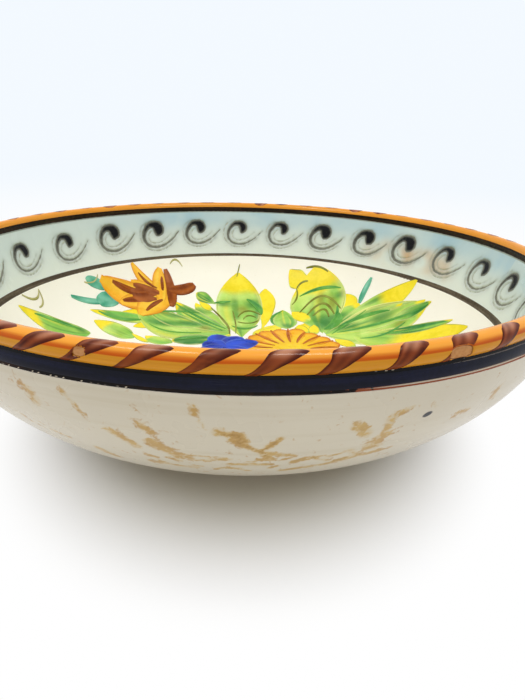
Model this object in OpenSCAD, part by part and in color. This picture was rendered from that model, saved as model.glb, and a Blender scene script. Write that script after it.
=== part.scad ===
// Thrown earthenware bowl with a rope-twist rim, a scratched running-scroll border
// and a flower spray painted on its floor.
// Millimetres, +Z up, origin at the centre of the face that the foot ring stands on.

/* [Form] */
// Diameter across the crest of the rim
rim_d = 300; // [260:1:340]
// Height from the table to the crest of the rim
bowl_h = 85; // [78:1:98]
// Thickness of the glazed lip roll
roll_d = 7.4; // [6.4:0.1:9]
// How far the shoulder under the lip stands out past the crest
shoulder_out = 3.9; // [3.2:0.1:5]
// Radius of the curve of the outer wall
wall_curve = 88.8; // [80:0.1:105]
// Thickness of the clay in the wall and floor
wall_t = 6; // [5:0.1:8]

/* [Foot] */
// Outer diameter of the foot ring
foot_d = 164; // [130:1:176]
// Width of the foot ring
foot_w = 9; // [6:0.1:14]
// Height of the floor's underside above the table
foot_h = 5.8; // [4.6:0.1:8]
// Chamfer on the edges that meet the table
foot_chamfer = 1.2; // [0.5:0.1:2]

/* [Coats] */
// Thickness of the cream slip
slip_t = 0.6; // [0.4:0.05:1]
// Thickness of the border slip that the scrolls are cut through
border_t = 0.9; // [0.7:0.05:1.2]
// Thickness of the dark fill in the cut scrolls
inlay_t = 0.6; // [0.4:0.05:0.7]
// Thickness of the rim glaze
glaze_t = 0.5; // [0.4:0.05:0.8]
// Thickness of one coat of paint
paint_t = 0.35; // [0.3:0.05:0.5]
// Thickness of the drawn lines and of the brown strokes
line_t = 0.4; // [0.3:0.05:0.6]
// Thickness of the dark blue band
band_t = 0.7; // [0.5:0.05:1]

/* [Bands] */
// Depth of the rim glaze below the crest, outside
glaze_drop = 6.3; // [5.8:0.1:6.9]
// Height of the black line under the rim glaze
upper_line_h = 1.1; // [0.6:0.1:1.6]
// Height of the dark blue band
navy_h = 3.3; // [2.4:0.1:4.5]
// Height of the line at the lower edge of the band
lower_line_h = 0.9; // [0.5:0.1:1.4]
// Depth of the dark line inside the lip below the crest, at its lower edge
lip_line_drop = 6.9; // [6.7:0.1:8]
// Height of that line
lip_line_h = 4; // [3.5:0.1:4.4]
// Height of the scroll border
border_h = 31; // [29:0.5:34]
// Height of the ring line at the foot of the border
foot_line_h = 1.1; // [0.6:0.1:1.6]

/* [Rope strokes] */
// Spacing of the strokes round the crest
stroke_pitch = 18.85; // [16:0.05:24]
// Width of a stroke at its middle
stroke_w = 8; // [5:0.1:10]
// Lean of a stroke from upright, in degrees
stroke_lean = 54; // [30:1:60]
// Turn of a stroke across the crest, in degrees
stroke_turn = 34; // [15:1:45]
// How far a stroke runs over the crest
stroke_over = 1; // [0:0.1:2]

/* [Scrolls] */
// Spacing of the scrolls round the border
scroll_pitch = 34.2; // [32:0.1:38]
// Turn of the first scroll from the far side, in degrees
scroll_start = 2.4; // [0:0.1:14]
// Radius of the outer curve of a scroll
scroll_r = 9.9; // [8.5:0.1:10.5]
// Radius of the dark head of a scroll
head_r = 5.2; // [4:0.1:6]
// Width of the hook at its left side
hook_w = 3.6; // [2.5:0.1:4.5]
// Width of the tail
tail_w = 1.4; // [0.8:0.1:1.8]
// Radius of the tail's curve
tail_r = 25; // [20:0.5:32]
// Height of the scrolls' middle above the border's middle
scroll_rise = 1.4; // [0.5:0.1:2]
// Gap between a hook and its second line
outline_gap = 1.5; // [1:0.1:2]
// Width of the second line
outline_w = 0.8; // [0.5:0.1:1.2]

/* [Flower spray] */
// Bare margin between the spray's farthest tip and the border
spray_margin = 5.5; // [3:0.5:15]
// Width of the drawn outlines
drawn_w = 0.9; // [0.6:0.1:1.4]

/* [Hidden] */
$fn = 180;
far = 400;

// Levels
crest_z = bowl_h;
roll_z = crest_z - roll_d/2;
neck_z = crest_z - glaze_drop;
navy_top_z = neck_z - upper_line_h;
navy_low_z = navy_top_z - navy_h;
shoulder_z = navy_low_z - lower_line_h;
lip_low_z = crest_z - lip_line_drop;
border_low_z = lip_low_z - border_h;
well_top_z = border_low_z - foot_line_h;

// Radii of the bare clay
roll_r = rim_d/2;
clay_roll = roll_d/2 - glaze_t;
lip_undercut = 0.2;
lip_in = roll_r - clay_roll + lip_undercut;
lip_meet_z = roll_z - sqrt(clay_roll^2 - (roll_r - lip_in)^2);
neck_r = roll_r + sqrt(clay_roll^2 - (roll_z - neck_z)^2);
shoulder_r = roll_r + shoulder_out;

// Outer wall: one arc that lies flat on the underside and rises to the shoulder
curve_z = foot_h + wall_curve;
curve_r = shoulder_r - sqrt(wall_curve^2 - (curve_z - shoulder_z)^2);
hollow_curve = wall_curve - wall_t;
function hollow_r(z) = curve_r + sqrt(hollow_curve^2 - (curve_z - z)^2);
border_low_r = hollow_r(border_low_z);
function border_r(z) = border_low_r + (lip_in - border_low_r)*(z - border_low_z)/border_h;
function neck_cone_r(z) = neck_r + (shoulder_r - neck_r)*(neck_z - z)/(neck_z - shoulder_z);

// Border: its slope and the frame in which one scroll is drawn
border_mid_z = border_low_z + border_h/2;
border_mid_r = border_r(border_mid_z);
border_lean = atan((lip_in - border_low_r)/border_h);
scroll_count = round(2*PI*border_mid_r/scroll_pitch);
scroll_step = 2*PI*border_mid_r/scroll_count;
cut_depth = scroll_pitch/2;

// Middle of a scroll's outer curve, the foot of its hook and the curve of its tail
scroll_mid = [0, scroll_rise];
hook_foot = scroll_mid - [0, scroll_r];
tail_mid = hook_foot + [0, tail_r];
tail_end = scroll_step - scroll_r - outline_gap - 2*outline_w;

// Rope strokes
stroke_count = round(2*PI*roll_r/stroke_pitch);
stroke_len = 4*roll_d;

// Leaves, back to front: base x and y, heading, length, width, share of the length that is yellow
LEAVES = [
    [6, 50, 83, 62, 13, 0.9], [-6, 46, 90, 79, 34, 0.16], [-38, 62, 190, 67, 22, 0.3],
    [-20, 44, 125, 56, 36, 0.12], [-28, 92, 110, 17, 10, 0.1], [-68, 36, 172, 30, 13, 0.4],
    [-48, 30, 153, 20, 10, 0.2], [-24, 32, 156, 24, 16, 0.1], [-98, 30, 210, 32, 15, 0.3],
    [27, 58, 92, 31, 14, 0.1], [54, 58, 107, 69, 40, 0.4], [86, 60, 15, 25, 15, 0.9],
    [54, 54, 354, 64, 38, 0.1], [56, 32, 36, 18, 9, 0.9], [76, 36, 334, 55, 18, 0.5],
    [-22, -4, 214, 76, 34, 0.2], [2, -20, 262, 84, 34, 0.24], [40, -14, 306, 76, 36, 0.35],
    [62, 4, 340, 58, 22, 0.3], [-44, 12, 188, 60, 22, 0.25]];

// Strokes on a leaf: share of the length where they start, of the length they run, of the width
VEIN_START = 0.12;
VEIN_RUN = 0.5;
VEIN_WIDTH = 0.07;
// Share of the width by which the side strokes lie off the midrib, and their turn towards it
VEIN_APART = 0.17;
VEIN_TURN = 4;

// Lily: middle x and y and radius of its throat, then heading, length and width of each petal
LILY = [-62, 92, 5];
LILY_PETALS = [[101, 20, 9], [159, 28, 10], [198, 43, 17], [220, 33, 12], [247, 26, 12]];
CALYX = [[39, 28, 7], [72, 18, 5]];
// Brown stroke on each petal: shares of the petal's length where it starts and runs, and of its width
PETAL_STROKE = [0.2, 0.6, 0.4];

// Ruffled blossom: middle x and y and radius of its heart, then petal count and size
BLOSSOM = [29, 23, 9];
BLOSSOM_COUNT = 18;
BLOSSOM_PETAL = [30, 9.6];

// Blue flower: middle, petal count and size
BLUE = [-13, 26];
BLUE_COUNT = 7;
BLUE_PETAL = [22, 15];

// Sprigs: base x and y, heading of the stem
SPRIGS = [[-112, 52, 42], [75, 74, 50], [-60, -84, 236]];
// A sprig's stem, the shares along it where its twigs leave, their turn and their share of its length
SPRIG = [24, 4];
TWIG_AT = [0.35, 0.6];
TWIG_TURN = 40;
TWIG_SHARE = 0.45;

// The spray is drawn in these units and then fitted to the well by its farthest tip
function leaf_tip(one) = [one[0] + one[3]*cos(one[2]), one[1] + one[3]*sin(one[2])];
spray_reach = max([for (one = LEAVES) norm(leaf_tip(one))]);
spray_scale = (hollow_r(well_top_z) - slip_t - spray_margin)/spray_reach;
drawn = drawn_w/spray_scale;

// Outline of the wall's outside, grown by a coat
module outside(grow = 0) {
    intersection() {
        union() {
            translate([curve_r, curve_z]) circle(wall_curve + grow);
            translate([0, foot_h - grow]) square([curve_r, far]);
        }
        translate([0, -far]) square([far, far + shoulder_z]);
    }
}

// Outline of the hollow below the border, shrunk by a coat
module well(shrink = 0) {
    intersection() {
        union() {
            translate([curve_r, curve_z]) circle(hollow_curve - shrink);
            translate([0, foot_h + wall_t + shrink]) square([curve_r, far]);
        }
        translate([0, -far]) square([far, far + border_low_z]);
    }
}

// Horizontal slice of the half plane
module between(low, high) {
    translate([0, low]) square([far, high - low]);
}

// Coat on the border's cone, from one depth to another
module border_coat(from, to, low = border_low_z, high = lip_low_z) {
    polygon([[border_r(low) - from, low], [border_r(high) - from, high],
             [border_r(high) - to, high], [border_r(low) - to, low]]);
}

// Coat on the cone between lip and shoulder
module neck_coat(thick, low, high) {
    polygon([[neck_cone_r(low), low], [neck_cone_r(low) + thick, low],
             [neck_cone_r(high) + thick, high], [neck_cone_r(high), high]]);
}

// Leaf or petal: two arcs that meet in points, with its base at the origin and its tip on +X
module leaf(length, width, inset = 0) {
    arc_r = (length^2 + width^2)/(4*width);
    intersection_for(side = [-1, 1])
        translate([length/2, side*(arc_r - width/2)]) circle(arc_r - inset);
}

// Thin shell on the well's slip that one coat of paint fills, over a flat drawing
module paint(coat = 1) {
    intersection() {
        rotate_extrude() difference() {
            well(slip_t + (coat - 1)*paint_t);
            well(slip_t + coat*paint_t);
        }
        linear_extrude(far) scale(spray_scale) children();
    }
}

module at_leaf(one) {
    translate([one[0], one[1]]) rotate(one[2]) children();
}

module at_flower(flower) {
    translate([flower[0], flower[1]]) children();
}

// Flower shapes that lie over the leaves
module lily_shape() {
    at_flower(LILY) {
        circle(LILY[2]);
        for (petal = LILY_PETALS) rotate(petal[0]) leaf(petal[1], petal[2]);
    }
}

module calyx_shape() {
    at_flower(LILY) for (sepal = CALYX) rotate(sepal[0]) leaf(sepal[1], sepal[2]);
}

module heart_shape() {
    at_flower(BLOSSOM) circle(BLOSSOM[2]);
}

module blossom_shape() {
    at_flower(BLOSSOM) for (k = [0:BLOSSOM_COUNT - 1])
        rotate(360*k/BLOSSOM_COUNT) translate([BLOSSOM[2]/2, 0])
            leaf(BLOSSOM_PETAL[0], BLOSSOM_PETAL[1]);
}

module blue_shape() {
    at_flower(BLUE) for (k = [0:BLUE_COUNT - 1])
        rotate(360*k/BLUE_COUNT) leaf(BLUE_PETAL[0], BLUE_PETAL[1]);
}

module sprig_shape() {
    for (sprig = SPRIGS) at_leaf(sprig) {
        leaf(SPRIG[0], SPRIG[1]);
        for (side = [-1, 1], share = TWIG_AT)
            translate([share*SPRIG[0], 0]) rotate(side*TWIG_TURN) leaf(TWIG_SHARE*SPRIG[0], SPRIG[1]);
    }
}

module flowers() {
    lily_shape();
    calyx_shape();
    blossom_shape();
    heart_shape();
    blue_shape();
    sprig_shape();
}

// One shape for every leaf, less the leaves in front of it and the flowers
module each_leaf() {
    for (k = [0:len(LEAVES) - 1]) {
        difference() {
            at_leaf(LEAVES[k]) {
                $one = LEAVES[k];
                children();
            }
            for (front = [k + 1:1:len(LEAVES) - 1])
                at_leaf(LEAVES[front]) leaf(LEAVES[front][3], LEAVES[front][4]);
            flowers();
        }
    }
}

// Yellow end of a leaf
module tip_zone(length, share) {
    translate([length, 0]) circle(share*length);
}

// Lip roll, the neck with its groove under it and the wall with its floor, thrown as one
module clay_body() {
    color("peru") union() {
        rotate_extrude() translate([roll_r, roll_z]) circle(clay_roll);
        rotate_extrude() polygon([[lip_in, lip_meet_z], [roll_r, roll_z], [neck_r, neck_z],
            [neck_r, navy_top_z], [neck_cone_r(navy_top_z), navy_top_z], [shoulder_r, shoulder_z],
            [border_r(shoulder_z), shoulder_z], [lip_in, lip_low_z]]);
        rotate_extrude() difference() {
            outside();
            well();
            polygon([[0, border_low_z], [border_low_r, border_low_z],
                     [border_r(shoulder_z), shoulder_z], [0, shoulder_z]]);
        }
    }
}

module foot_ring() {
    outer = foot_d/2;
    inner = outer - foot_w;
    color("burlywood") rotate_extrude() difference() {
        polygon([[inner + foot_chamfer, 0], [outer - foot_chamfer, 0], [outer, foot_chamfer],
                 [outer, bowl_h/2], [inner, bowl_h/2], [inner, foot_chamfer]]);
        outside();
    }
}

module outer_slip() {
    color("antiquewhite") rotate_extrude() difference() {
        outside(slip_t);
        outside();
        square([foot_d/2, far]);
    }
}

module well_slip() {
    color("ivory") rotate_extrude() intersection() {
        difference() {
            well();
            well(slip_t);
        }
        between(0, well_top_z);
    }
}

// One scroll, drawn flat: x to the right seen from inside the bowl, y up the border
module on_border() {
    for (k = [0:scroll_count - 1])
        rotate(scroll_start + 360*k/scroll_count)
            translate([0, border_mid_r, border_mid_z])
                rotate([90 - border_lean, 0, 0])
                    linear_extrude(cut_depth, center = true) children();
}

// Ring sector left of the hook's foot
module hook_band(outer, inner, shift) {
    difference() {
        translate(scroll_mid) circle(outer);
        translate(scroll_mid + shift) circle(inner);
        translate(hook_foot - [0, scroll_r]) square(4*scroll_r);
    }
}

// Ring sector that runs from the hook's foot up to the next scroll
module tail_band(outer, inner) {
    intersection() {
        difference() {
            translate(tail_mid) circle(outer);
            translate(tail_mid) circle(inner);
        }
        translate(tail_mid - [0, 2*tail_r]) square([tail_end, 2*tail_r]);
    }
}

module scroll() {
    hook_inner = scroll_r - (hook_w + tail_w)/2;
    translate(scroll_mid + [0, scroll_r - head_r]) circle(head_r);
    hook_band(scroll_r, hook_inner, [(hook_w - tail_w)/2, (tail_w - hook_w)/2]);
    tail_band(tail_r, tail_r - tail_w);
}

module second_line() {
    hook_band(scroll_r + outline_gap + outline_w, scroll_r + outline_gap, [0, 0]);
    tail_band(tail_r + outline_gap + outline_w, tail_r + outline_gap);
}

module border_slip() {
    color("lightsteelblue") difference() {
        rotate_extrude() border_coat(0, border_t);
        on_border() {
            scroll();
            second_line();
        }
    }
}

module scroll_inlay() {
    color([0.12, 0.11, 0.12]) intersection() {
        rotate_extrude() border_coat(0, inlay_t);
        on_border() scroll();
    }
}

module scroll_outline() {
    color([0.45, 0.4, 0.32]) intersection() {
        rotate_extrude() border_coat(0, inlay_t);
        on_border() difference() {
            second_line();
            scroll();
        }
    }
}

module lip_line() {
    color([0.2, 0.12, 0.1]) rotate_extrude() intersection() {
        difference() {
            union() {
                translate([roll_r, roll_z]) circle(clay_roll + line_t);
                translate([lip_in - line_t, lip_low_z]) square([roll_d, roll_z - lip_low_z]);
            }
            translate([roll_r, roll_z]) circle(clay_roll);
            translate([lip_in, 0]) square([2*roll_d, roll_z]);
        }
        translate([0, lip_low_z]) square([roll_r - clay_roll/2, lip_line_h]);
    }
}

module border_foot_line() {
    color([0.42, 0.38, 0.32]) rotate_extrude() intersection() {
        difference() {
            well();
            well(line_t);
        }
        between(well_top_z, border_low_z);
    }
}

// Glaze over the lip roll, from the lip line over the crest to the black line
module lip_coat(from, to) {
    difference() {
        translate([roll_r, roll_z]) circle(clay_roll + to);
        translate([roll_r, roll_z]) circle(clay_roll + from);
        square([roll_r, lip_low_z + lip_line_h]);
        square([far, neck_z]);
    }
}

module rim_glaze() {
    color("orange") rotate_extrude() lip_coat(0, glaze_t);
}

// Strokes on the outer side of the roll, from the black line to just over the crest
module rim_strokes() {
    color("saddlebrown") intersection() {
        rotate_extrude() difference() {
            lip_coat(glaze_t, glaze_t + line_t);
            square([roll_r - stroke_over, far]);
        }
        for (k = [0:stroke_count - 1])
            rotate(360*(k + 1/2)/stroke_count)
                translate([0, roll_r, roll_z])
                    rotate([0, 0, -stroke_turn]) rotate([0, -stroke_lean, 0]) rotate([90, -90, 0])
                        linear_extrude(stroke_len, center = true)
                            translate([-stroke_len/2, 0]) leaf(stroke_len, stroke_w);
    }
}

// Black line that fills the groove turned under the lip, proud of it by its thickness
module upper_line() {
    color([0.08, 0.07, 0.07]) rotate_extrude()
        polygon([[neck_r, navy_top_z], [neck_cone_r(navy_top_z) + line_t, navy_top_z],
                 [neck_r + line_t, neck_z], [neck_r, neck_z]]);
}

module navy_band() {
    color([0.1, 0.1, 0.16]) rotate_extrude() neck_coat(band_t, navy_low_z, navy_top_z);
}

module lower_line() {
    color([0.35, 0.2, 0.12]) rotate_extrude() neck_coat(line_t, shoulder_z, navy_low_z);
}

module leaf_green() {
    color("yellowgreen") paint() each_leaf() difference() {
        leaf($one[3], $one[4], drawn);
        tip_zone($one[3], $one[5]);
    }
}

module leaf_tips() {
    color("gold") paint() each_leaf() intersection() {
        leaf($one[3], $one[4], drawn);
        tip_zone($one[3], $one[5]);
    }
}

module leaf_outlines() {
    color("sienna") paint() each_leaf() difference() {
        leaf($one[3], $one[4]);
        leaf($one[3], $one[4], drawn);
    }
}

// A midrib and two side strokes, drawn over the wash
module leaf_veins() {
    color("forestgreen") paint(2) each_leaf() {
        for (side = [-1, 0, 1])
            translate([VEIN_START*$one[3], side*VEIN_APART*$one[4]])
                rotate(-side*VEIN_TURN) leaf(VEIN_RUN*$one[3], VEIN_WIDTH*$one[4] + drawn);
    }
}

module lily_petals() {
    color("orange") paint() difference() {
        lily_shape();
        calyx_shape();
    }
}

module lily_strokes() {
    color("saddlebrown") {
        paint() calyx_shape();
        paint(2) difference() {
            at_flower(LILY) for (petal = LILY_PETALS)
                rotate(petal[0]) translate([PETAL_STROKE[0]*petal[1], 0])
                    leaf(PETAL_STROKE[1]*petal[1], PETAL_STROKE[2]*petal[2]);
            calyx_shape();
        }
    }
}

module blossom_petals() {
    color("darkorange") paint() difference() {
        blossom_shape();
        heart_shape();
        blue_shape();
    }
}

module blossom_strokes() {
    color("sienna") paint(2) difference() {
        at_flower(BLOSSOM) for (k = [0:BLOSSOM_COUNT - 1])
            rotate(360*k/BLOSSOM_COUNT) translate([BLOSSOM[2] + drawn, 0])
                leaf(BLOSSOM_PETAL[0]/2, 2*drawn);
        blue_shape();
    }
}

module blossom_heart() {
    color("gold") paint() heart_shape();
}

module blue_petals() {
    color("royalblue") paint() difference() {
        blue_shape();
        heart_shape();
    }
}

module teal_sprigs() {
    color("cadetblue") paint() difference() {
        sprig_shape();
        lily_shape();
    }
}

clay_body();
foot_ring();
outer_slip();
well_slip();
border_slip();
scroll_inlay();
scroll_outline();
lip_line();
border_foot_line();
rim_glaze();
rim_strokes();
upper_line();
navy_band();
lower_line();
leaf_green();
leaf_tips();
leaf_veins();
leaf_outlines();
lily_petals();
lily_strokes();
blossom_petals();
blossom_strokes();
blossom_heart();
blue_petals();
teal_sprigs();
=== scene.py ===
"""Looks of a thrown earthenware bowl: clay and slips, a cut scroll border, a glazed rope rim
and a flower spray painted on its floor. Lengths are in millimetres until a piece is made."""

import bpy
import numpy as np
from mathutils import Matrix, Vector


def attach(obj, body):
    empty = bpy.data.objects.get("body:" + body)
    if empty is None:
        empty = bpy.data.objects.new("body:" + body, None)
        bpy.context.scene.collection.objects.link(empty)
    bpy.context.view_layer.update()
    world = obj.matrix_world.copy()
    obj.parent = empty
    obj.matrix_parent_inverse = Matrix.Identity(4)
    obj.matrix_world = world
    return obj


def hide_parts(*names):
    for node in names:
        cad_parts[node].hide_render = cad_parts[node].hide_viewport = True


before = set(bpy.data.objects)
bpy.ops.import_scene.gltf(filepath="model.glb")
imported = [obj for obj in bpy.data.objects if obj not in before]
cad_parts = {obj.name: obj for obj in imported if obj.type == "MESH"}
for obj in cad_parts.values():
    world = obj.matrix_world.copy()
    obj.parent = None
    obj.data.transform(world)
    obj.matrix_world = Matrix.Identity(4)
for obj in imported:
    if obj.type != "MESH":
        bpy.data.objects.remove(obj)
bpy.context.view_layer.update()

# Form, as in the part
MM = 0.001
BOWL_H = 85.0
ROLL_R = 150.0
ROLL_Z = 81.3
CLAY_ROLL = 3.2
GLAZE_ROLL = 3.7
LIP_IN = 147.0
LIP_LOW_Z = 78.1
LIP_LINE_TOP_Z = 82.1
NECK_Z = 78.7
NECK_R = 151.87
NAVY_TOP_Z = 77.6
NAVY_LOW_Z = 74.3
SHOULDER_Z = 73.4
SHOULDER_R = 153.9
BORDER_LOW_Z = 47.1
BORDER_LOW_R = 135.49
WELL_TOP_Z = 46.0
CURVE_R = 67.67
CURVE_Z = 94.6
WALL_CURVE = 88.8
HOLLOW_CURVE = 82.8
FOOT_H = 5.8
FOOT_R = 82.0
FOOT_IN = 73.0
FOOT_CHAMFER = 1.2
FLOOR_Z = 11.8

# Sections of the clay and the well slip stop just short of the axis
CLAY_CORE = 0.5
SLIP_CORE = 0.4

# Angles round the lip roll in degrees, where 0 faces outwards: ends of its clay and of the rope strokes
CLAY_ROLL_ENDS = (-54, 197)
STROKE_LOW = -44
STROKE_TOP = 107

# Coats: thicknesses, how far one is sunk into what it lies on, and the gap above the outer slip
SLIP_T = 0.6
BORDER_T = 0.9
CUT_T = 0.36
INLAY_T = 0.62
LINE_T = 0.4
BAND_T = 0.7
SUNK = 0.05
SEAM = 0.05

# Patterns: counts round the bowl, turns of the first ones, and the scrolls' rise over the border's middle
SCROLL_COUNT = 26
SCROLL_RISE = 1.4
SCROLL_TURN = np.radians(2.4)
STROKE_COUNT = 50
STROKE_TURN = np.radians(-3.1)

BORDER_MID_Z = (BORDER_LOW_Z + LIP_LOW_Z)/2
BORDER_MID_R = (BORDER_LOW_R + LIP_IN)/2
SCROLL_STEP = 2*np.pi*BORDER_MID_R/SCROLL_COUNT

# Painted layers: steps from one leaf, petal or stroke to the next, and heights over the slip of the well
LAYER = 0.008
STROKE_LAYER = 0.006
THIN_LAYER = 0.004
SPRIG_LAYER = 0.003
LEAF_LIFT = 0.05
SPRIG_LIFT = 0.44
VEIN_LIFT = 0.445
SKETCH_LIFT = 0.452
PETAL_LIFT = 0.46
LILY_STROKE_LIFT = 0.54
BLOSSOM_STROKE_LIFT = 0.56
HEART_LIFT = 0.57
BLUE_LIFT = 0.62

# Fineness: points round the bowl and across a leaf, and the step along a brush stroke
CLAY_TURNS = 240
WELL_TURNS = 300
LINE_TURNS = 720
BAND_TURNS = 900
WALL_TURNS = 960
BORDER_TURNS = 1560
ROLL_TURNS = 1600
SPECK_TURNS = 1800
LEAF_ACROSS = 23
BRUSH_STEP = 1.1

# Stage, in metres and degrees
FLOOR_LOW = 0.0004
BACKDROP = np.array([0.90, 0.95, 1.0])
LAMPS = (("left_softbox", (-0.34, -0.04, 1.08)), ("right_softbox", (0.25, -0.02, 1.1)))
LAMP_SIZE = (0.22, 0.34)
LAMP_POWER = 4.2
CAMERA_LENS = 27.05
CAMERA_PLACE = (0, -0.2803, 0.1401)
CAMERA_PITCH_YAW_ROLL = (22.874, 1.984, 1.813)


# Shapes

def hollow_r(z):
    """Radius of the clay's inside at a height."""
    return CURVE_R + np.sqrt(HOLLOW_CURVE**2 - (CURVE_Z - z)**2)


def wall_r(z):
    """Radius of the clay's outer wall at a height."""
    return CURVE_R + np.sqrt(WALL_CURVE**2 - (CURVE_Z - z)**2)


def border_r(z):
    """Radius of the clay behind the border at a height."""
    return BORDER_LOW_R + (LIP_IN - BORDER_LOW_R)*(z - BORDER_LOW_Z)/(LIP_LOW_Z - BORDER_LOW_Z)


def neck_r(z):
    """Radius of the clay under the bands at a height."""
    return NECK_R + (SHOULDER_R - NECK_R)*(NECK_Z - z)/(NECK_Z - SHOULDER_Z)


def well_z(r, curve):
    """Height of the well at a radius, for clay or a coat whose wall has this curve."""
    return CURVE_Z - np.sqrt(curve**2 - np.maximum(r - CURVE_R, 0)**2)


def well_point(x, y, lift):
    """Point on the slip of the well above a place in plan, raised towards the hollow."""
    return np.stack([x, y, well_z(np.hypot(x, y), HOLLOW_CURVE - SLIP_T - lift)], axis=-1)


def polar(r, turn, z):
    """Points at a radius, a turn round the bowl and a height."""
    return np.stack([r*np.cos(turn), r*np.sin(turn), z + 0*turn], axis=-1)


def roll_section(around, radius):
    """Radius and height of places round the lip roll, where 0 faces outwards."""
    return ROLL_R + radius*np.cos(around), ROLL_Z + radius*np.sin(around)


def roll_point(turn, around, radius):
    r, z = roll_section(around, radius)
    return polar(r, turn, z)


def border_point(turn, z, depth):
    """Points at a depth of coat on the clay behind the border."""
    return polar(border_r(z) - depth, turn, z)


def round_turns(count):
    """Even turns round the bowl, as a column."""
    return 2*np.pi*np.arange(count)[:, None]/count


def turn_from(turn, degrees):
    """Turn in radians from a place that is given in degrees from the front."""
    return np.angle(np.exp(1j*(turn - np.radians(degrees - 90))))


def from_front(turn, degrees):
    """The same turn in degrees."""
    return np.degrees(turn_from(turn, degrees))


def hand(points):
    """Lets the pot wander a little, as a thrown one does."""
    x, y, z = points.T
    turn = np.arctan2(y, x)
    up = z/BOWL_H
    grow = 1 + up*(0.0010*np.sin(2*turn + 0.6) + 0.0005*np.sin(3*turn + 2.1))
    lift = up*0.10*np.sin(2*turn + 1.9)
    return np.column_stack([x*grow, y*grow, z + lift])


def ripple(x, y, seed, waves=7):
    """Smooth seeded noise of about -1 to 1."""
    rng = np.random.default_rng(seed)
    total = 0
    for _ in range(waves):
        way = rng.uniform(0, 2*np.pi)
        pace = rng.uniform(0.6, 1.8)
        total = total + np.sin(pace*(x*np.cos(way) + y*np.sin(way)) + rng.uniform(0, 2*np.pi))
    return total*1.6/waves


def ease(value, low, high):
    """Smooth step from 0 at low to 1 at high."""
    share = np.clip((value - low)/(high - low), 0, 1)
    return share*share*(3 - 2*share)


def grid_faces(rows, columns, ring=True):
    """Quads over a grid of points whose rows are loops. On request the rows close into a ring too."""
    index = np.arange(rows*columns).reshape(rows, columns)
    index = np.hstack([index, index[:, :1]])
    if ring:
        index = np.vstack([index, index[:1]])
    corners = [index[:-1, :-1], index[1:, :-1], index[1:, 1:], index[:-1, 1:]]
    return np.stack(corners, axis=-1).reshape(-1, 4)


def cell_solid(top, floor, keep):
    """Closed solid over the kept cells of a grid round the bowl, with the grid place of each point."""
    rows, columns = top.shape[:2]
    index = np.arange(rows*columns).reshape(rows, columns)
    ahead = np.roll(index, -1, axis=0)
    corners = np.stack([index[:, :-1], ahead[:, :-1], ahead[:, 1:], index[:, 1:]], axis=-1)
    lower = rows*columns
    faces = [corners[keep], corners[keep][:, ::-1] + lower]
    wide = np.pad(keep, ((0, 0), (1, 1)))
    neighbours = [
        (wide[:, :-2], 0, 1),
        (np.roll(keep, -1, axis=0), 1, 2),
        (wide[:, 2:], 2, 3),
        (np.roll(keep, 1, axis=0), 3, 0),
    ]
    for other, first, second in neighbours:
        side = corners[keep & ~other]
        a, b = side[:, first], side[:, second]
        faces.append(np.stack([b, a, a + lower, b + lower], axis=-1))
    faces = np.concatenate(faces)
    points = np.concatenate([top.reshape(-1, 3), floor.reshape(-1, 3)])
    used, places = np.unique(faces, return_inverse=True)
    return points[used], places.reshape(-1, 4), used % lower


class Coat:
    """Thin closed patches of one coat, gathered into one piece."""

    def __init__(self):
        self.points = []
        self.faces = []
        self.paint = []
        self.count = 0

    def lay(self, top, floor, paint):
        """Adds the patch between two grids of points, with a colour for each point."""
        rows, columns = top.shape[:2]
        loop = np.concatenate([top, floor[:, ::-1]], axis=1)
        colour = np.concatenate([paint, paint[:, ::-1]], axis=1)
        wide = 2*columns
        j = np.arange(columns - 1)
        start = np.stack([j, j + 1, wide - 2 - j, wide - 1 - j], axis=-1)
        end = start[:, [1, 0, 3, 2]] + (rows - 1)*wide
        faces = np.concatenate([grid_faces(rows, wide, False), start, end])
        self.points.append(loop.reshape(-1, 3))
        self.faces.append(faces + self.count)
        self.paint.append(colour.reshape(-1, 3))
        self.count += rows*wide

    def on_well(self, patch, lift, paint):
        x, y = patch[:2]
        self.lay(well_point(x, y, lift), well_point(x, y, -SUNK), paint)

    def piece(self, name, slot, material):
        points, faces, paint = map(np.concatenate, (self.points, self.faces, self.paint))
        add_piece(name, points, faces, slot, material, {"paint": paint})


def add_piece(name, points, faces, slot, material, marks):
    """Makes the object of one node: its mesh, point marks, material and place on the frame."""
    corners = points[faces]
    volume = np.einsum("ij,ij->", corners[:, 0], np.cross(corners[:, 1], corners[:, 2]))
    volume += np.einsum("ij,ij->", corners[:, 0], np.cross(corners[:, 2], corners[:, 3]))
    if volume < 0:
        faces = faces[:, ::-1]
    mesh = bpy.data.meshes.new(name)
    mesh.from_pydata((hand(points)*MM).tolist(), [], faces.tolist())
    for mark, values in marks.items():
        if values.ndim == 1:
            layer = mesh.attributes.new(mark, "FLOAT", "POINT")
            layer.data.foreach_set("value", values)
        else:
            layer = mesh.attributes.new(mark, "FLOAT_COLOR", "POINT")
            layer.data.foreach_set("color", np.column_stack([values, np.ones(len(values))]).ravel())
    mesh.shade_smooth()
    mesh.set_sharp_from_angle(angle=np.radians(40))
    mesh.materials.append(material)
    piece = bpy.data.objects.new("look_" + name, mesh)
    bpy.context.scene.collection.objects.link(piece)
    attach(piece, "root")
    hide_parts(name)


def add_revolved(name, r, z, count, slot, material, **marks):
    """Ring whose section is a closed loop of radii and heights, which may change with the turn."""
    points = polar(r, round_turns(count), z)
    faces = grid_faces(count, points.shape[1])
    marks = {mark: np.ravel(values) for mark, values in marks.items()}
    add_piece(name, points.reshape(-1, 3), faces, slot, material, marks)


# Colours and shading

def tint(red, green, blue):
    """Linear colour of a tint given in 0 to 255."""
    share = np.array([red, green, blue])/255
    return np.where(share <= 0.04045, share/12.92, ((share + 0.055)/1.055)**2.4)


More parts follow.
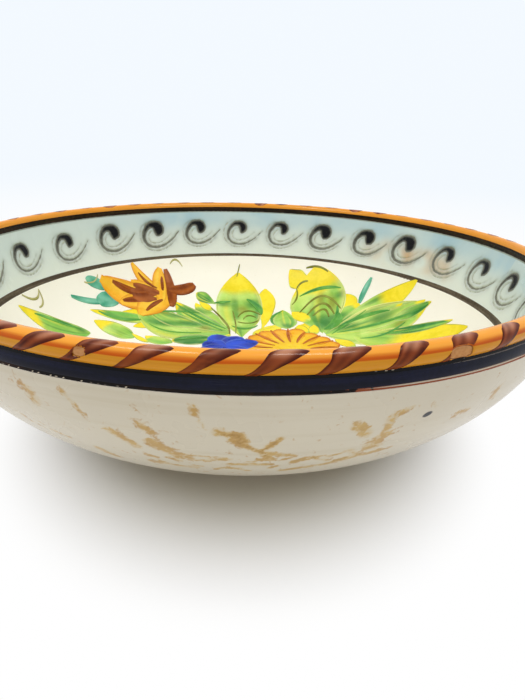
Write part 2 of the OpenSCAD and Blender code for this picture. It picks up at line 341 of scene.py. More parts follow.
def between(first, second, share):
    """Colours between two, by an array of shares."""
    share = np.clip(share, 0, 1)[..., None]
    return first + (second - first)*share


class Nodes:
    """Shorthand for one tree of shader nodes."""

    def __init__(self, tree):
        self.tree = tree

    def add(self, kind, inputs=None, **settings):
        """New node with its settings, and with a number, a colour or a link on its sockets."""
        node = self.tree.nodes.new(kind)
        for key, value in settings.items():
            setattr(node, key, value)
        for key, value in (inputs or {}).items():
            self.put(node.inputs[key], value)
        return node

    def put(self, socket, value):
        if isinstance(value, bpy.types.NodeSocket):
            self.tree.links.new(value, socket)
        elif isinstance(value, np.ndarray):
            socket.default_value = (*value, 1.0)
        else:
            socket.default_value = value

    def join(self, kind, a, b):
        """Value worked out from two numbers or links."""
        return self.add("ShaderNodeMath", {0: a, 1: b}, operation=kind).outputs[0]

    def sum(self, a, b):
        return self.join("ADD", a, b)

    def times(self, a, b):
        return self.join("MULTIPLY", a, b)

    def direct_view(self):
        """1 where the camera looks straight, or through a reflection."""
        path = self.add("ShaderNodeLightPath").outputs
        mirror = self.join("MAXIMUM", path["Is Glossy Ray"], path["Is Transmission Ray"])
        return self.join("MAXIMUM", path["Is Camera Ray"], mirror)

    def mix_shaders(self, share, first, second, output):
        mix = self.add("ShaderNodeMixShader", {0: share, 1: first.outputs[0], 2: second.outputs[0]})
        self.put(self.tree.nodes[output].inputs["Surface"], mix.outputs[0])


class Shade(Nodes):
    """Shorthand for one node material on a Principled shader."""

    def __init__(self, name, gloss):
        self.material = bpy.data.materials.new(name)
        self.material.use_nodes = True
        super().__init__(self.material.node_tree)
        self.shader = self.tree.nodes["Principled BSDF"]
        self.put(self.shader.inputs["Specular IOR Level"], gloss)
        self.place = self.add("ShaderNodeTexCoord").outputs["Object"]

    def mark(self, name, kind="Fac"):
        return self.add("ShaderNodeAttribute", attribute_name=name).outputs[kind]

    def paint(self):
        return self.mark("paint", "Color")

    def stretch(self, x, y, z):
        return self.add("ShaderNodeMapping", {"Vector": self.place, "Scale": (x, y, z)}).outputs["Vector"]

    def noise(self, scale, detail=3.0, vector=None, warp=0.0):
        sockets = {"Vector": vector or self.place, "Scale": scale, "Detail": detail, "Distortion": warp}
        return self.add("ShaderNodeTexNoise", sockets).outputs["Fac"]

    def sway(self, noise, reach):
        """Noise that goes to both sides of 0."""
        return self.times(self.sum(noise, -0.5), reach)

    def level(self, value, low, high, start=0.0, end=1.0):
        """Smooth step from start at low to end at high."""
        sockets = {"Value": value, "From Min": low, "From Max": high, "To Min": start, "To Max": end}
        return self.add("ShaderNodeMapRange", sockets, interpolation_type="SMOOTHSTEP").outputs["Result"]

    def blend(self, share, first, second, kind="MIX"):
        sockets = {"Factor": share, 6: first, 7: second}
        return self.add("ShaderNodeMix", sockets, data_type="RGBA", blend_type=kind).outputs[2]

    def length(self, vector):
        return self.add("ShaderNodeVectorMath", {0: vector}, operation="LENGTH").outputs["Value"]

    def pinholes(self, scale):
        """Small round marks of 1, in a few of many cells."""
        cells = self.add("ShaderNodeTexVoronoi", {"Vector": self.place, "Scale": scale}).outputs
        pick = self.add("ShaderNodeSeparateColor", {0: cells["Color"]}).outputs[0]
        return self.times(self.level(cells["Distance"], 0.035, 0.02), self.level(pick, 0.88, 0.91))

    def spot(self, centre, half_long, half_wide, lean, half_deep=20.0):
        """Oval mark of 1 on the near wall round a place in millimetres, seen from the front."""
        sockets = {
            "Vector": self.place,
            "Location": [v*MM for v in centre],
            "Rotation": (0, lean, np.arctan2(centre[1], centre[0]) + np.pi/2),
            "Scale": (half_long*MM, half_deep*MM, half_wide*MM),
        }
        node = self.add("ShaderNodeMapping", sockets, vector_type="TEXTURE")
        return self.level(self.length(node.outputs["Vector"]), 1.15, 0.75)

    def bump(self, height, strength, depth):
        node = self.add("ShaderNodeBump", {"Strength": strength, "Distance": depth*MM, "Height": height})
        self.put(self.shader.inputs["Normal"], node.outputs["Normal"])

    def finish(self, colour, by, smooth, dull, low=0.3, high=0.7):
        """Sets the colour, and a roughness from smooth to dull by another value."""
        self.put(self.shader.inputs["Base Color"], colour)
        self.put(self.shader.inputs["Roughness"], self.level(by, low, high, smooth, dull))
        return self.material


def clay_material():
    s = Shade("bare_clay", gloss=0.1)
    grain = s.noise(900, 4)
    colour = s.blend(s.noise(40, 3), tint(176, 118, 78), tint(206, 156, 110))
    colour = s.blend(s.level(grain, 0.62, 0.75), colour, tint(120, 78, 52))
    s.bump(grain, 0.5, 0.25)
    return s.finish(colour, grain, 0.75, 0.95)


# Dark blot on the near wall: place, half length, half width and lean
BLOT = ((56.9, -138.6, 59.6), 1.8, 1.25, -0.35)


def outer_material():
    """Cream slip with ochre smears, whose edges the brush and the wiping hand left ragged."""
    s = Shade("outer_cream_slip", gloss=0.25)
    stain, heavy = s.mark("stain"), s.mark("heavy")
    cloud = s.noise(22, 4)
    throw = s.noise(9, 3, s.stretch(1, 1, 30))
    fray = s.noise(560, 6, warp=0.7)
    coarse = s.noise(150, 4, warp=0.8)
    colour = s.blend(cloud, tint(218, 211, 197), tint(234, 229, 218))
    colour = s.blend(s.level(throw, 0.5, 0.75, 0.0, 0.35), colour, tint(208, 198, 176))
    edge = s.sum(s.sum(stain, s.sway(fray, 1.7)), s.sway(coarse, 1.3))
    ochre = s.blend(s.level(coarse, 0.35, 0.65), tint(210, 174, 100), tint(188, 140, 58))
    ochre = s.blend(s.times(heavy, s.level(fray, 0.3, 0.6)), ochre, tint(150, 96, 20))
    cover = s.times(s.level(edge, 0.26, 0.78), s.sum(s.times(heavy, 0.14), 0.84))
    colour = s.blend(cover, colour, ochre)
    wash = s.level(s.sum(stain, s.sway(cloud, 0.5)), 0.18, 0.7)
    colour = s.blend(s.times(wash, 0.34), colour, tint(212, 182, 112))
    colour = s.blend(s.times(s.pinholes(60), 0.8), colour, tint(110, 92, 76))
    colour = s.blend(s.spot(*BLOT), colour, tint(44, 44, 54))
    s.bump(s.sum(s.times(throw, 0.5), s.times(s.noise(160, 3), 0.25)), 0.22, 0.5)
    return s.finish(colour, cloud, 0.22, 0.38)


def well_material():
    s = Shade("well_cream_slip", gloss=0.12)
    cloud = s.noise(26, 4)
    colour = s.blend(cloud, tint(245, 241, 227), tint(251, 248, 237))
    speck = s.level(s.noise(700, 3), 0.66, 0.76)
    colour = s.blend(s.times(speck, 0.25), colour, tint(206, 190, 160))
    s.bump(s.noise(70, 3), 0.12, 0.4)
    return s.finish(colour, cloud, 0.28, 0.42)


def border_material():
    """Pale slip with a blue wash, tan places and the dark that bled from the cuts."""
    s = Shade("border_blue_slip", gloss=0.15)
    cloud = s.noise(40, 4, warp=0.5)
    colour = s.blend(s.mark("up"), tint(234, 242, 238), tint(214, 228, 227))
    wash = s.times(s.mark("wash"), s.level(cloud, 0.25, 0.75, 0.45, 1.0))
    colour = s.blend(wash, colour, tint(172, 205, 222))
    colour = s.blend(s.times(s.mark("tan"), s.level(cloud, 0.3, 0.6)), colour, tint(218, 180, 138))
    halo = s.times(s.mark("halo"), s.level(s.noise(420, 3), 0.2, 0.6, 0.75, 1.0))
    colour = s.blend(halo, colour, tint(96, 96, 84))
    s.bump(s.sum(s.noise(120, 3), s.times(s.noise(500, 2), 0.3)), 0.15, 0.4)
    return s.finish(colour, cloud, 0.18, 0.3)


def inlay_material(name, thick, thin):
    s = Shade(name, gloss=0.15)
    grain = s.noise(380, 4)
    tone = s.sum(s.mark("tone"), s.sway(grain, 0.35))
    s.bump(grain, 0.2, 0.2)
    return s.finish(s.blend(s.level(tone, 0.0, 1.0), thick, thin), grain, 0.18, 0.36)


def ring_material(name, first, second, bare, grit=0.6, gloss=0.12):
    """Thin drawn ring, brushed along its length, with stretches of another colour and glaze specks. Some of
    these colours are painted highlights: the navy band's grey edge and the lower line's pale ridge.
    """
    s = Shade(name, gloss)
    run = s.noise(30, 4, s.stretch(1, 1, 16))
    fine = s.noise(600, 3)
    colour = s.blend(s.level(s.sum(run, s.sway(fine, 0.4)), 0.35, 0.7), first, second)
    colour = s.blend(s.level(s.sum(s.mark("bare"), s.sway(fine, grit)), 0.4, 0.6), colour, bare)
    colour = s.blend(s.level(s.mark("speck"), 0.3, 0.6), colour, tint(226, 214, 196))
    s.bump(fine, 0.15, 0.2)
    return s.finish(colour, run, 0.12, 0.3)


def rim_material():
    """Orange glaze in zones up the roll that are partly painted light: a mustard strip below that is a
    painted reflection of the floor, burnt above it, a bright crest that is a painted highlight, honey
    inside.
    """
    s = Shade("rim_orange_glaze", gloss=0.14)
    brush = s.noise(26, 4, s.stretch(1, 1, 22))
    fine = s.noise(60, 4, s.stretch(1, 1, 30))
    lift = s.sum(s.mark("around"), s.sway(brush, 0.10))
    # Painted light: the mustard strip and the bright orange crest stand for the floor's reflection and the
    # lights' highlight on the glaze
    mustard_floor_reflection = s.blend(fine, tint(240, 172, 50), tint(222, 144, 34))
    burnt = s.blend(fine, tint(222, 108, 14), tint(196, 82, 4))
    orange = s.blend(fine, tint(252, 178, 72), tint(245, 156, 44))
    honey = s.blend(fine, tint(236, 164, 58), tint(220, 136, 36))
    bared = s.blend(s.noise(800, 3), tint(190, 122, 70), tint(238, 186, 130))
    colour = s.blend(s.level(lift, 0.225, 0.265), mustard_floor_reflection, burnt)
    colour = s.blend(s.level(lift, 0.29, 0.44), colour, orange)
    colour = s.blend(s.level(lift, 0.62, 0.78), colour, honey)
    broken = s.sum(s.mark("chip"), s.sway(s.noise(700, 3), 0.5))
    colour = s.blend(s.times(s.level(broken, 0.15, 0.4), 0.75), colour, tint(112, 56, 24))
    chip = s.level(broken, 0.45, 0.6)
    s.bump(s.sum(s.times(fine, 0.5), s.times(s.noise(90, 2), 0.5)), 0.25, 0.35)
    return s.finish(s.blend(chip, colour, bared), chip, 0.16, 0.8, 0.0, 1.0)


def stroke_material():
    s = Shade("rim_brown_strokes", gloss=0.12)
    streak = s.noise(55, 4, s.stretch(1, 1, 7))
    fine = s.noise(420, 3)
    thin = s.level(s.sum(streak, s.sway(fine, 0.5)), 0.45, 0.75, 0.0, 0.5)
    s.bump(s.sum(s.times(streak, 0.6), s.times(fine, 0.2)), 0.25, 0.3)
    return s.finish(s.blend(thin, s.paint(), tint(150, 72, 34)), streak, 0.12, 0.26)


def paint_material(name, streak=60.0):
    """Wash of paint under glaze: the brushed colour of each point, with pigment grain."""
    s = Shade(name, gloss=0.06)
    cloud = s.noise(streak, 5, warp=0.8)
    fine = s.noise(520, 3)
    share = s.level(s.sum(s.times(cloud, 0.75), s.times(fine, 0.25)), 0.35, 0.65)
    deep = s.blend(1.0, s.paint(), tint(240, 240, 230), "MULTIPLY")
    thin = s.blend(0.03, s.paint(), tint(252, 250, 225))
    s.bump(s.sum(s.times(cloud, 0.5), s.times(fine, 0.3)), 0.12, 0.25)
    return s.finish(s.blend(share, deep, thin), cloud, 0.2, 0.34)


def line_material(name):
    """Paint of narrow strokes, which has a finer streak."""
    return paint_material(name, 90)


# Clay and slips

def add_clay():
    material = clay_material()
    low = np.linspace(FOOT_H, SHOULDER_Z, 40)
    around = np.radians(np.linspace(*CLAY_ROLL_ENDS, 22))
    down = np.linspace(BORDER_LOW_Z - 1, FLOOR_Z, 30)
    groove = [(neck_r(NAVY_TOP_Z), NAVY_TOP_Z), (NECK_R, NAVY_TOP_Z), (NECK_R, NECK_Z)]
    outer = [(CLAY_CORE, FOOT_H), *zip(wall_r(low), low), *groove]
    roll = list(zip(*roll_section(around, CLAY_ROLL)))
    inside = [(LIP_IN, LIP_LOW_Z), (BORDER_LOW_R, BORDER_LOW_Z)]
    inner = [*zip(hollow_r(down), down), (CLAY_CORE, FLOOR_Z)]
    r, z = np.array(outer + roll + inside + inner).T
    add_revolved("clay_body", r, z, CLAY_TURNS, "clay", material)
    r = np.array([FOOT_IN + FOOT_CHAMFER, FOOT_R - FOOT_CHAMFER, FOOT_R, FOOT_R, FOOT_IN, FOOT_IN])
    z = np.array([0, 0, FOOT_CHAMFER, FOOT_H + 1.3, FOOT_H + 0.4, FOOT_CHAMFER])
    add_revolved("foot_ring", r, z, CLAY_TURNS, "clay", material)


# Ochre smears on the near wall: turn from the front in degrees and height of both ends, half width, weight
SMEARS = [
    (-25.5, 66.5, -25.2, 60.5, 2.8, 0.62), (-33, 51, -31, 48.5, 0.8, 0.6),
    (-30.8, 47, -28.6, 44.5, 0.8, 0.6),
    (-27, 45, -24.5, 42.5, 1.0, 0.65), (-29, 49, -27.5, 47, 0.6, 0.55), (-20.3, 69.5, -18.5, 59.8, 1.1, 0.6),
    (-16.2, 55, -13.5, 48, 1.9, 0.8), (-11.9, 60, -10.6, 56.5, 1.6, 0.8), (-11.0, 51.5, -9.6, 47, 2.7, 0.85),
    (-9.8, 48, -8.2, 43.5, 2.2, 0.75), (-20.4, 40, -19, 35.5, 2.0, 0.8), (-2.9, 58.4, -0.2, 57.2, 1.9, 1.0),
    (-0.8, 57, 0.4, 54.5, 1.3, 1.0), (-1.4, 55.5, 2.2, 48.9, 1.3, 1.0), (2.0, 49, 4.4, 56, 1.1, 1.0),
    (2.0, 49.5, 3.0, 45.5, 1.4, 1.0), (2.4, 48.5, 6.2, 46, 1.2, 0.85), (-1.8, 40.4, 3.5, 40.2, 1.1, 0.85),
    (5.5, 33.8, 12.2, 37.8, 1.2, 0.85), (-8.7, 46, -2.2, 44.5, 0.7, 0.75), (-6.5, 42, -1.5, 44, 0.7, 0.7),
    (8.0, 44, 10.5, 44.5, 0.7, 0.7), (-5.4, 69, -5.2, 66, 1.4, 0.7), (-5.2, 66, -4.2, 60, 0.5, 0.6),
    (13.3, 59.5, 14.6, 55.5, 2.9, 0.78), (19.4, 65, 17.2, 62, 1.5, 0.7), (17.2, 62, 17.0, 51.4, 2.0, 0.74),
    (17.3, 53, 16.4, 46.5, 3.2, 0.78), (13.8, 46, 15.0, 43, 1.6, 0.65), (12.4, 38.2, 15.4, 40.5, 1.5, 0.75),
    (15.6, 41.5, 18.6, 42.5, 1.3, 0.7), (16.5, 40.5, 20.5, 43, 0.7, 0.65), (22.4, 64, 23, 62.5, 1.5, 0.55),
    (28.8, 55.8, 29.8, 55.4, 2.4, 0.64), (34.2, 62, 34.8, 57.5, 2.0, 0.62), (-13, 37, -7, 35.5, 1.2, 0.75)]


def seeded_smear(rng, turn, heights, runs, falls, halves, weights):
    """Smear from a turn, whose other numbers are drawn from their ranges."""
    height = rng.uniform(*heights)
    run, fall = rng.uniform(*runs), rng.uniform(*falls)
    return turn, height, turn + run, height + fall, rng.uniform(*halves), rng.uniform(*weights)


def wall_smears():
    """The near smears, then seeded ones low on the front and of like size on the rest of the wall."""
    rng = np.random.default_rng(77)
    smears = list(SMEARS)
    for turn in np.arange(-13, 13, 1.5):
        smears.append(seeded_smear(rng, turn, (34, 45), (0.8, 2.2), (-2.5, 2.5), (0.5, 1.2), (0.7, 0.95)))
    for turn in np.arange(42, 326, 4.4):
        start = turn + rng.uniform(-2, 2)
        smears.append(seeded_smear(rng, start, (28, 66), (-3.5, 3.5), (-9, 2), (0.7, 3.0), (0.55, 1.0)))
    return smears


def stain_marks(turn, z):
    """How strongly ochre was smeared at each place of the outer wall."""
    mean_r, slope = 140, 1.2
    stain = 0.10*ease(z, 50, 30)
    reach = wall_r(z)
    for number, (turn_a, z_a, turn_b, z_b, half, weight) in enumerate(wall_smears()):
        x = turn_from(turn, turn_a)*reach
        y = (z - z_a)*slope
        run, rise = np.radians(turn_b - turn_a)*mean_r, (z_b - z_a)*slope
        share = np.clip((x*run + y*rise)/(run**2 + rise**2), 0, 1)
        away = np.hypot(x - share*run, y - share*rise)
        ragged = 1 + 0.45*ripple(x*0.7, y*0.7, 500 + number)
        stain = np.maximum(stain, weight*np.exp(-(away/(half*ragged + 0.3))**2))
    return stain


def add_outer_slip():
    """Coat on the outer wall from foot to shoulder, whose back has fewer points than its face."""
    curve = WALL_CURVE + SLIP_T
    top_z = SHOULDER_Z - SEAM
    start_z = CURVE_Z - np.sqrt(curve**2 - (FOOT_R - CURVE_R)**2)
    lean = np.linspace(np.arcsin((start_z - CURVE_Z)/curve), np.arcsin((top_z - CURVE_Z)/curve), 96)
    back = lean[::-19]
    face_z = CURVE_Z + curve*np.sin(lean)
    turn = round_turns(WALL_TURNS)
    wave = 0.08*ripple(4*np.cos(turn) + 0*face_z, 4*np.sin(turn) + face_z*0.12, 5)
    r = np.hstack([CURVE_R + curve*np.cos(lean) + wave, CURVE_R + WALL_CURVE*np.cos(back) + 0*turn])
    z = np.hstack([face_z, CURVE_Z + WALL_CURVE*np.sin(back)])
    stain = stain_marks(turn + 0*z, z + 0*turn)
    add_revolved("outer_slip", r, z, WALL_TURNS, "outer_cream", outer_material(),
                 stain=stain, heavy=ease(stain, 0.8, 1.0))


def add_well_slip():
    face = np.linspace(SLIP_CORE, hollow_r(WELL_TOP_Z) - 0.55, 110)
    back = np.linspace(hollow_r(WELL_TOP_Z), SLIP_CORE, 60)
    z = np.hstack([well_z(face, HOLLOW_CURVE - SLIP_T), well_z(back, HOLLOW_CURVE)])
    add_revolved("well_slip", np.hstack([face, back]), z, WELL_TURNS, "well_cream", well_material())


# Rings

# Glaze specks on the two thin lines, and the stretches where the lower one is bare clay: turn from the front
UPPER_SPECKS = [13.9, 15.1, 15.9, 25.5, 61, 118, 164, 207, 262, 310]
LOWER_SPECKS = [-18.1, -16.1, -15.3, -14.5, -21, -25.4, -12.2, -13.1, -17.2, -19.4, -20.3, -22.6, -23.4,
                -24.3, -26.8, -27.7, -29.1, 72, 131, 180, 241, 286]
BARE_CLAY = [(11, 40), (96, 112), (190, 226)]
CLAY_TINT = tint(158, 84, 54)


def add_ring(name, r, z, slot, material, count, wander, seed, specks=(), bare=(), fade=0.0, ridge_highlight=0.0):
    """Ring of one section, whose edges wander a little up and down, with its marks.
    Fade and ridge_highlight may differ along the section: how far the ring turns to its other colour, which
    on the navy band is a painted highlight, and how strongly bare stretches take the speck colour as a
    painted highlight."""
    turn = round_turns(count)
    shift = wander*ripple(9*np.cos(turn) + 0*z, 9*np.sin(turn) + z, seed)
    speck, bared = 0*turn, 0*turn
    for place in specks:
        # Half width in degrees, which differs from speck to speck
        half = 0.08 + 0.08*(place*3.7 % 1)
        speck = np.maximum(speck, np.exp(-(from_front(turn, place)/half)**2))
    for first, last in bare:
        inside = ease(from_front(turn, first), -7, 9)*ease(from_front(turn, last), 7, -9)
        bared = np.maximum(bared, inside*(np.abs(from_front(turn, (first + last)/2)) < 60))
    # Specks sit on one point of the section
    dot = np.arange(shift.shape[1]) == 1
    add_revolved(name, r + 0*turn, z + shift, count, slot, material,
                 speck=np.maximum(speck*dot, bared*ridge_highlight), bare=bared + fade + 0*shift)


def add_lip_line():
    """Dark line inside, under the lip, which pales at its lower edge."""
    rise = LIP_LINE_TOP_Z - ROLL_Z
    around = np.pi - np.arcsin(np.linspace(rise, -1.15, 6)/(CLAY_ROLL + LINE_T))
    face_r, face_z = roll_section(around, CLAY_ROLL + LINE_T)
    around = np.pi - np.arcsin(np.linspace(-1.05, rise, 6)/CLAY_ROLL)
    back_r, back_z = roll_section(around, CLAY_ROLL)
    r = np.hstack([face_r, LIP_IN - LINE_T - 0.45, LIP_IN - 0.3, back_r])
    z = np.hstack([face_z, LIP_LOW_Z, LIP_LOW_Z, back_z])
    soft = 0.75*ease(z, LIP_LOW_Z + 2.0, LIP_LOW_Z + 0.7)
    look = ring_material("lip_line_black", tint(24, 18, 15), tint(58, 40, 30), tint(170, 180, 176), grit=0.2)
    add_ring("lip_line", r, z, "scroll_black", look, LINE_TURNS, wander=0.12, seed=11, fade=soft)


def add_foot_line():
    """Brush line over the seam of well and border, which is broader towards the front."""
    broad = 0.9 + 1.5*(1 - np.sin(round_turns(LINE_TURNS)))
    low = WELL_TOP_Z - broad*np.linspace(1, 0, 4)
    high = BORDER_LOW_Z + broad*np.linspace(0, 1, 3)
    back = np.array([BORDER_LOW_Z, WELL_TOP_Z]) + 0*broad
    r = np.hstack([hollow_r(low) - SLIP_T - 0.12, border_r(high) - BORDER_T - 0.07, hollow_r(back)])
    z = np.hstack([low, high, back])
    soft = np.array([0.35, 0, 0, 0, 0, 0, 0.35, 0, 0])
    look = ring_material("foot_line_brown", tint(78, 66, 54), tint(110, 98, 82), tint(170, 162, 144))
    add_ring("border_foot_line", r, z, "line_brown", look, LINE_TURNS, wander=0.04, seed=12, fade=soft)


def add_upper_line():
    z = np.array([NAVY_TOP_Z, NECK_Z - 0.25, NECK_Z + 0.05, NECK_Z, NAVY_TOP_Z])
    r = np.array([neck_r(NAVY_TOP_Z) + LINE_T, NECK_R + LINE_T + 0.2, NECK_R + LINE_T - 0.1, NECK_R, NECK_R])
    look = ring_material("line_black_glaze", tint(12, 11, 12), tint(30, 24, 22), CLAY_TINT)
    add_ring("upper_line", r, z, "line_black", look, SPECK_TURNS, wander=0.06, seed=13, specks=UPPER_SPECKS)


def add_navy_band():
    """Band proud of the lines beside it, with a painted grey highlight along its upper edge on the right."""
    z = np.array([NAVY_LOW_Z, NAVY_LOW_Z + 0.4, NAVY_TOP_Z - 0.5, NAVY_TOP_Z, NAVY_TOP_Z, NAVY_LOW_Z])
    r = neck_r(z) + np.array([BAND_T - 0.25, BAND_T, BAND_T, BAND_T - 0.25, 0, 0])
    turn = round_turns(BAND_TURNS)
    # Painted highlight: the ring's grey other colour along the upper edge on the right stands for a
    # reflection
    painted_glint = ease(from_front(turn, 16), 0, 14)*ease(from_front(turn, 150), 0, -30)
    edge = np.array([0, 0, 0, 0.9, 0, 0])
    look = ring_material("band_navy_glaze", tint(10, 11, 32), tint(20, 22, 50), tint(122, 116, 116),
                         gloss=0.17)
    add_ring("navy_band", r, z, "band_navy", look, BAND_TURNS, wander=0.06, seed=14, fade=painted_glint*edge)


def add_lower_line():
    z = np.array([SHOULDER_Z, SHOULDER_Z + 0.3, SHOULDER_Z + 0.6, NAVY_LOW_Z, NAVY_LOW_Z, SHOULDER_Z])
    r = neck_r(z) + np.array([LINE_T, LINE_T + 0.1, LINE_T + 0.05, LINE_T - 0.05, 0, 0])
    # Painted highlight: the pale speck colour along the ridge above the bare clay
    ridge_highlight = np.array([0, 0, 0.75, 0.35, 0, 0])
    look = ring_material("lower_line_clay", tint(20, 15, 14), tint(52, 32, 24), CLAY_TINT, grit=1.8)
    add_ring("lower_line", r, z, "line_clay", look, SPECK_TURNS, wander=0.05, seed=15,
             specks=LOWER_SPECKS, bare=BARE_CLAY, ridge_highlight=ridge_highlight)


# Scroll border

def scroll_grid():
    """Turn, height, run along the border, slope height and number of the nearest scroll of each point."""
    turn = round_turns(BORDER_TURNS)
    z = np.linspace(BORDER_LOW_Z, LIP_LOW_Z, 58)[None, :]
    slope = (LIP_LOW_Z - BORDER_LOW_Z)/np.hypot(LIP_LOW_Z - BORDER_LOW_Z, LIP_IN - BORDER_LOW_R)
    y = (z - BORDER_MID_Z)/slope + 0*turn
    run = BORDER_MID_R*(np.pi/2 + SCROLL_TURN - turn) + 0*z
    return turn + 0*z, z + 0*turn, run, y, np.round(run/SCROLL_STEP)


# Line of a scroll's hook from its head to its tail, and of the thin lines on either side:
# place to the right and up from the scroll's middle, and width
SCROLL_LINE = [(2.6, 0.4, 4.2), (3.6, 2.6, 7.2), (3.0, 5.0, 7.4), (0.6, 6.5, 5.4), (-3.0, 6.3, 4.2),
               (-6.1, 3.4, 3.2), (-8.0, -0.6, 2.6), (-7.8, -4.6, 2.2), (-5.0, -8.0, 1.8), (0.0, -9.3, 1.5),
               (5.0, -8.7, 1.4), (10.0, -6.3, 1.2), (14.6, -2.8, 1.0), (18.2, 1.0, 0.7)]
SECOND_LINE = [(-5.2, 8.4, 0.5), (-8.9, 5.4, 0.8), (-11.0, 0.4, 0.9), (-10.6, -5.0, 0.9), (-7.2, -9.6, 0.9),
               (-1.4, -11.8, 0.9), (4.6, -11.3, 0.8), (10.0, -9.0, 0.8), (14.4, -5.4, 0.5)]
INNER_LINE = [(0.0, 3.0, 0.5), (-2.8, 1.6, 0.8), (-4.7, -1.6, 0.9), (-3.8, -4.9, 0.9), (-0.4, -6.5, 0.9),
              (4.4, -5.8, 0.8), (8.6, -3.4, 0.6), (12.0, -0.4, 0.4)]

# Distances to the lines count up to FAR. Fills reach past the edges of the cuts, but not into the hooks
FAR = 9.0
FILL_EDGE = 0.45
HOOK_EDGE = 0.4

# How far the hand set each scroll from even spacing: number of the scroll, and distance to the right
SCROLL_SPACING = [(-13, 0), (-8, -3), (-6, -7), (-5, -6), (-4, -2.3), (-3, 0), (-1, 0), (0, -1.5), (1, -3),
                  (2, -3.8), (3, -2), (4, -3), (5, -1.5), (6, -1.5), (7, -3.5), (9, 0), (13, 0)]


def smooth_line(knots, steps=8):
    """Smooth line through knots, with each of their numbers carried along it."""
    knots = np.array(knots, float)
    padded = np.concatenate([[2*knots[0] - knots[1]], knots, [2*knots[-1] - knots[-2]]])
    t = np.linspace(0, 1, steps, endpoint=False)[:, None]
    parts = []
    for a, b, c, d in zip(padded, padded[1:], padded[2:], padded[3:]):
        parts.append(b + 0.5*t*(c - a + t*(2*a - 5*b + 4*c - d + t*(3*(b - c) + d - a))))
    return np.concatenate(parts + [knots[-1:]])


def line_field(x, y, knots, bold=1.0):
    """Signed distance to a drawn line, less than 0 inside, and the share along it of the nearest place."""
    line = smooth_line(knots)
    best = np.full(x.shape, FAR)
    share = np.zeros(x.shape)
    for number, (line_x, line_y, width) in enumerate(line):
        away = np.hypot(x - line_x, y - line_y) - bold*width/2
        share = np.where(away < best, number/(len(line) - 1), share)
        best = np.minimum(best, away)
    return best, share


def scroll_marks(run, y, number):
    """Signed distances to the nearest hook and thin line, less than 0 inside, and how thin the fill is."""
    rng = np.random.default_rng(26)
    vary = rng.uniform(-1, 1, (SCROLL_COUNT, 5))
    hook = np.full(run.shape, FAR)
    second = np.full(run.shape, FAR)
    tone = np.zeros(run.shape)
    numbers, shifts = np.array(SCROLL_SPACING, float).T
    half = SCROLL_COUNT//2
    for back in (-1, 0, 1):
        scroll = number - back
        right, up, bold, size, thin = np.moveaxis(vary[scroll.astype(int) % SCROLL_COUNT], -1, 0)
        shift = np.interp((scroll + half) % SCROLL_COUNT - half, numbers, shifts)
        size = 1 + 0.06*size
        x = (run - scroll*SCROLL_STEP - shift - 0.7*right)/size
        up = (y - SCROLL_RISE - 0.5*up)/size
        near, share = line_field(x, up, SCROLL_LINE, 1 + 0.2*bold)
        pale = np.interp(share, [0, 0.22, 0.4, 0.6, 1], [0.0, 0.0, 0.3, 0.62, 1.0])
        pale = np.maximum(pale, 0.8*ease(near, -2.4, 0.3))
        tone = np.where(near < hook, pale, tone)
        hook = np.minimum(hook, near)
        second = np.minimum(second, line_field(x + 0.5*thin, up - 0.5*thin, SECOND_LINE)[0])
        second = np.minimum(second, line_field(x, up - 0.4*thin, INNER_LINE)[0])
    return hook, second, tone


def add_border_slip(turn, z, run, y, hook, second, tone):
    """Slip that is cut down along the hooks and thin lines, with its wash and stains."""
    cut = np.minimum(hook, second + 0.12)
    depth = CUT_T + (BORDER_T - CUT_T)*ease(cut, -0.5, 0.5) + 0.03*ripple(run*0.2, y*0.3, 33)
    depth[:, [0, -1]] = BORDER_T
    back_z = np.array([LIP_LOW_Z, BORDER_LOW_Z]) + 0*z[:, :2]
    r = np.hstack([border_r(z) - depth, border_r(back_z)])
    side = from_front(turn, 180)
    washed = np.clip(ease(side, 56, 30)*(0.8 + 0.6*ripple(run*0.09, y*0.05, 35)), 0, 1)
    patchy = np.clip(0.6 + ripple(run*0.2, y*0.2, 36), 0, 1)
    bled = 0.66*np.exp(-np.maximum(hook, 0)/1.1)*(1 - 0.5*tone)
    marks = {
        "up": ease(y, -14, 10),
        "wash": ease(y, 0, 12)*washed,
        "tan": ease(side, -36, -44)*ease(side, -76, -66)*np.exp(-((y + 3)/7)**2)*patchy,
        "halo": bled + 0.2*np.exp(-np.maximum(second, 0)/1.4),
    }
    marks = {mark: np.pad(values, ((0, 0), (0, 2)), mode="edge") for mark, values in marks.items()}
    z = np.hstack([z, back_z])
    add_revolved("border_slip", r, z, BORDER_TURNS, "border_blue", border_material(), **marks)


def add_border():
    turn, z, run, y, number = scroll_grid()
    hook, second, tone = scroll_marks(run, y, number)
    ragged = 0.22*ripple(run*1.3, y*1.3, 31)
    hook = hook + ragged
    second = second + ragged
    add_border_slip(turn, z, run, y, hook, second, tone)
    black = inlay_material("scroll_black_glaze", tint(8, 8, 10), tint(142, 144, 134))
    brown = inlay_material("scroll_brown_line", tint(158, 158, 146), tint(184, 188, 178))
    top = border_point(turn, z, INLAY_T + 0.02*ripple(run*0.8, y*0.8, 37))
    floor = border_point(turn, z, 0)
    thin = (second < FILL_EDGE) & (hook > HOOK_EDGE)
    fills = (("scroll_inlay", hook < FILL_EDGE, "scroll_black", black),
             ("scroll_outline", thin, "line_brown", brown))
    for name, inside, slot, material in fills:
        both = inside & np.roll(inside, -1, axis=0)
        points, faces, place = cell_solid(top, floor, both[:, :-1] & both[:, 1:])
        add_piece(name, points, faces, slot, material, {"tone": tone.ravel()[place]})


# Lip roll with its rope strokes

# Chips in the rim glaze: turn in degrees from the front, angle round the roll, half length, half height
CHIPS = [(24.6, -8, 4.4, 2.5), (-17.4, 16, 1.9, 1.5), (148, 30, 1.8, 1.4)]

